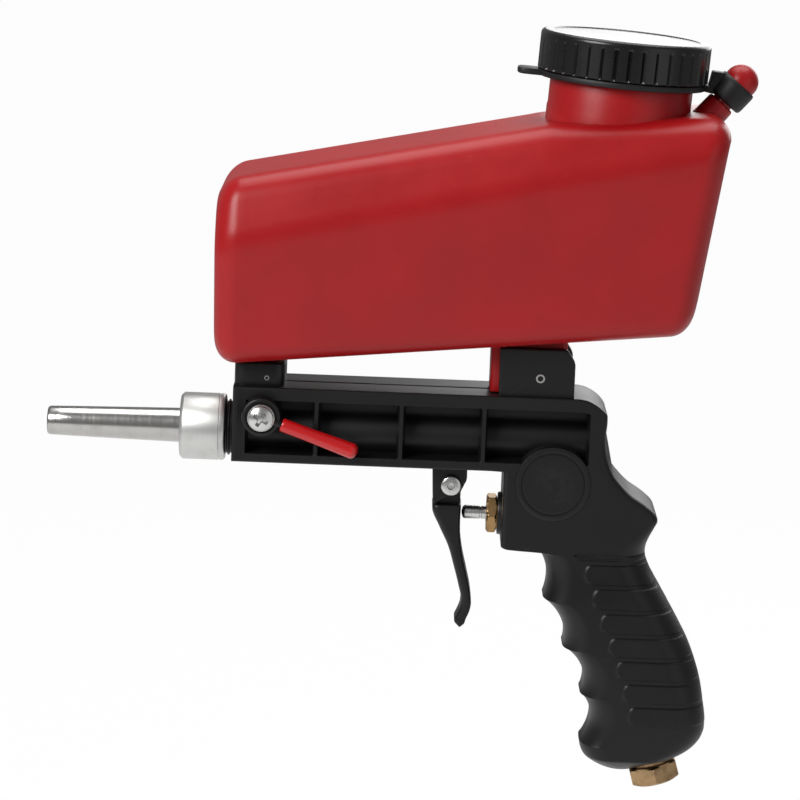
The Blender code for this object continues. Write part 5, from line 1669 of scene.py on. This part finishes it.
@dataclass
class HopperPins:
    """The cross pins that lock the hopper's outlet and its rear foot to the body."""

    front: Triple = (10.9, 0.0, 19.2)
    rear: Triple = (101.3, 0.0, 22.6)

    def build(self) -> None:
        """Makes a roll pin with a hollow end for each hole and dresses it."""
        cases = (
            ("front_pin_near", self.front, 3.5, 11.05, 1.0, -1, "hopper_front_pin_near"),
            ("front_pin_far", self.front, 3.5, 11.05, 1.0, 1, "hopper_front_pin_far"),
            ("rear_pin", self.rear, -12.05, 12.05, 1.7, -1, "hopper_rear_pin"),
        )
        for name, centre, low, high, radius, way, node in cases:
            profile = np.array((
                (low, 0.15), (low, radius - 0.2), (low + 0.2, radius), (high - 0.25, radius),
                (high, radius - 0.25), (high, radius * 0.55), (high - 0.7, radius * 0.5), (high - 0.8, 0.15),
            ))
            piece = skin(name, turned(centre, (0, way, 0), profile, 48))
            WARDROBE.dress(piece, pin_finish(name, centre, (0, 1, 0)), Part.GUN, (node,))


# --- Studio -----------------------------------------------------------------------------------------------


@dataclass
class Lamp:
    """One soft area light.

    Attributes:
        name: Its name.
        place: Where it stands, in metres.
        size: Width and height in metres.
        power: Power in watts.
        colour: Colour of its light.
    """

    name: str
    place: Triple
    size: Pair
    power: float
    colour: Triple = (1.0, 1.0, 1.0)

    def build(self, target: Vector) -> None:
        """Sets the light up, facing the target."""
        data = bpy.data.lights.new(self.name, "AREA")
        data.shape = "RECTANGLE"
        data.size, data.size_y = self.size
        data.energy = self.power
        data.color = self.colour
        lamp = bpy.data.objects.new(self.name, data)
        lamp.location = self.place
        lamp.rotation_euler = (target - Vector(self.place)).to_track_quat("-Z", "Y").to_euler()
        bpy.context.scene.collection.objects.link(lamp)


@dataclass
class Studio:
    """Pale floor, soft lights and the camera.

    Attributes:
        eye: The camera's place in metres.
        elevation: How far it looks down, in degrees.
        roll: How far it is turned about its own line of sight, in degrees.
        lens: Focal length in millimetres on a sensor 36 mm wide.
        floor_drop: How far the floor lies below the gun, in metres.
    """

    eye: Triple = (-0.0758, -1.0904, 0.2913)
    elevation: float = 11.0
    roll: float = 2.2
    lens: float = 149.5
    floor_drop: float = 0.16
    lamps: tuple[Lamp, ...] = (
        Lamp("key_from_front_left", (-0.80, -0.75, 0.70), (0.55, 0.55), 12.0),
        Lamp("fill_from_right", (0.85, -0.90, 0.25), (0.9, 0.9), 1.3),
        Lamp("top", (0.0, 0.15, 0.95), (0.9, 0.7), 6.5),
        Lamp("rim_from_behind", (0.35, 0.95, 0.45), (0.8, 0.6), 4.0),
    )

    def camera(self) -> None:
        """Places the camera: its right, up and back vectors come from elevation and roll."""
        down, roll = math.radians(self.elevation), math.radians(self.roll)
        right = Vector((1, 0, 0))
        back = Vector((0, -math.cos(down), math.sin(down)))
        up = back.cross(right)
        rolled_right = right * math.cos(roll) + up * math.sin(roll)
        rolled_up = up * math.cos(roll) - right * math.sin(roll)
        data = bpy.data.cameras.new("studio_camera")
        data.sensor_width = 36.0
        data.lens = self.lens
        data.clip_end = 100.0
        camera = bpy.data.objects.new("studio_camera", data)
        turn = Matrix((rolled_right, rolled_up, back)).transposed().to_4x4()
        camera.matrix_world = Matrix.Translation(self.eye) @ turn
        bpy.context.scene.collection.objects.link(camera)
        bpy.context.scene.camera = camera

    def surroundings(self) -> None:
        """A dim white world that looks white to the camera."""
        world = bpy.data.worlds.new("studio_world")
        bpy.context.scene.world = world
        world.use_nodes = True
        tree = world.node_tree
        background = tree.nodes["Background"]
        seen = tree.nodes.new("ShaderNodeBackground")
        background.inputs["Color"].default_value = (1.0, 1.0, 1.0, 1.0)
        background.inputs["Strength"].default_value = 0.24
        seen.inputs["Color"].default_value = (1.0, 1.0, 1.0, 1.0)
        seen.inputs["Strength"].default_value = 1.0
        path = tree.nodes.new("ShaderNodeLightPath")
        mixed = tree.nodes.new("ShaderNodeMixShader")
        tree.links.new(path.outputs["Is Camera Ray"], mixed.inputs[0])
        tree.links.new(background.outputs[0], mixed.inputs[1])
        tree.links.new(seen.outputs[0], mixed.inputs[2])
        tree.links.new(mixed.outputs[0], tree.nodes["World Output"].inputs["Surface"])

    def floor(self) -> None:
        """A wide pale floor below the gun."""
        low, _ = (Vector(corner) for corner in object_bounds())
        level = low.z - self.floor_drop
        reach = 30.0
        mesh = bpy.data.meshes.new("studio_floor")
        sides = ((-1, -1), (1, -1), (1, 1), (-1, 1))
        corners = [(reach * x, reach * y, level) for x, y in sides]
        mesh.from_pydata(corners, [], [(0, 1, 2, 3)])
        recipe = Recipe("studio_floor_white")
        path = recipe.node("ShaderNodeLightPath", {}, {})
        recipe.dress(Base_Color=(0.80, 0.80, 0.80, 1.0), Roughness=0.9, Specular_IOR_Level=0.1)
        glow = recipe.node("ShaderNodeEmission", {}, {"Color": (1.0, 1.0, 1.0, 1.0), "Strength": 1.0})
        share = Value(recipe, path.outputs["Is Camera Ray"]) * 0.97
        mixed = recipe.node(
            "ShaderNodeMixShader", {}, {0: share, 1: recipe.shader.outputs[0], 2: glow.outputs[0]}
        )
        output = recipe.tree.nodes["Material Output"]
        recipe.feed(output.inputs["Surface"], mixed.outputs[0])
        mesh.materials.append(recipe.material)
        ground = bpy.data.objects.new("studio_floor", mesh)
        bpy.context.scene.collection.objects.link(ground)
        ground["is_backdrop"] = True

    def build(self) -> None:
        """Sets up everything round the gun, and shows colours as they are, without a film curve."""
        bpy.context.scene.view_settings.view_transform = "Standard"
        self.camera()
        self.surroundings()
        self.floor()
        for lamp in self.lamps:
            lamp.build(Vector((0.0, 0.0, 0.06)))


# --- Assembly ---------------------------------------------------------------------------------------------


def main() -> None:
    """Builds the studio and every sub-assembly."""
    logging.basicConfig(level=logging.INFO, format="%(name)s: %(message)s")
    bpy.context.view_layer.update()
    Studio().build()
    hopper = Hopper()
    for assembly in (
        GunBody(), hopper, Cap(hopper), Nozzle(), Inlet(), SandValve(), Trigger(), HopperPins()
    ):
        assembly.build()


if __name__ == "__main__":
    main()
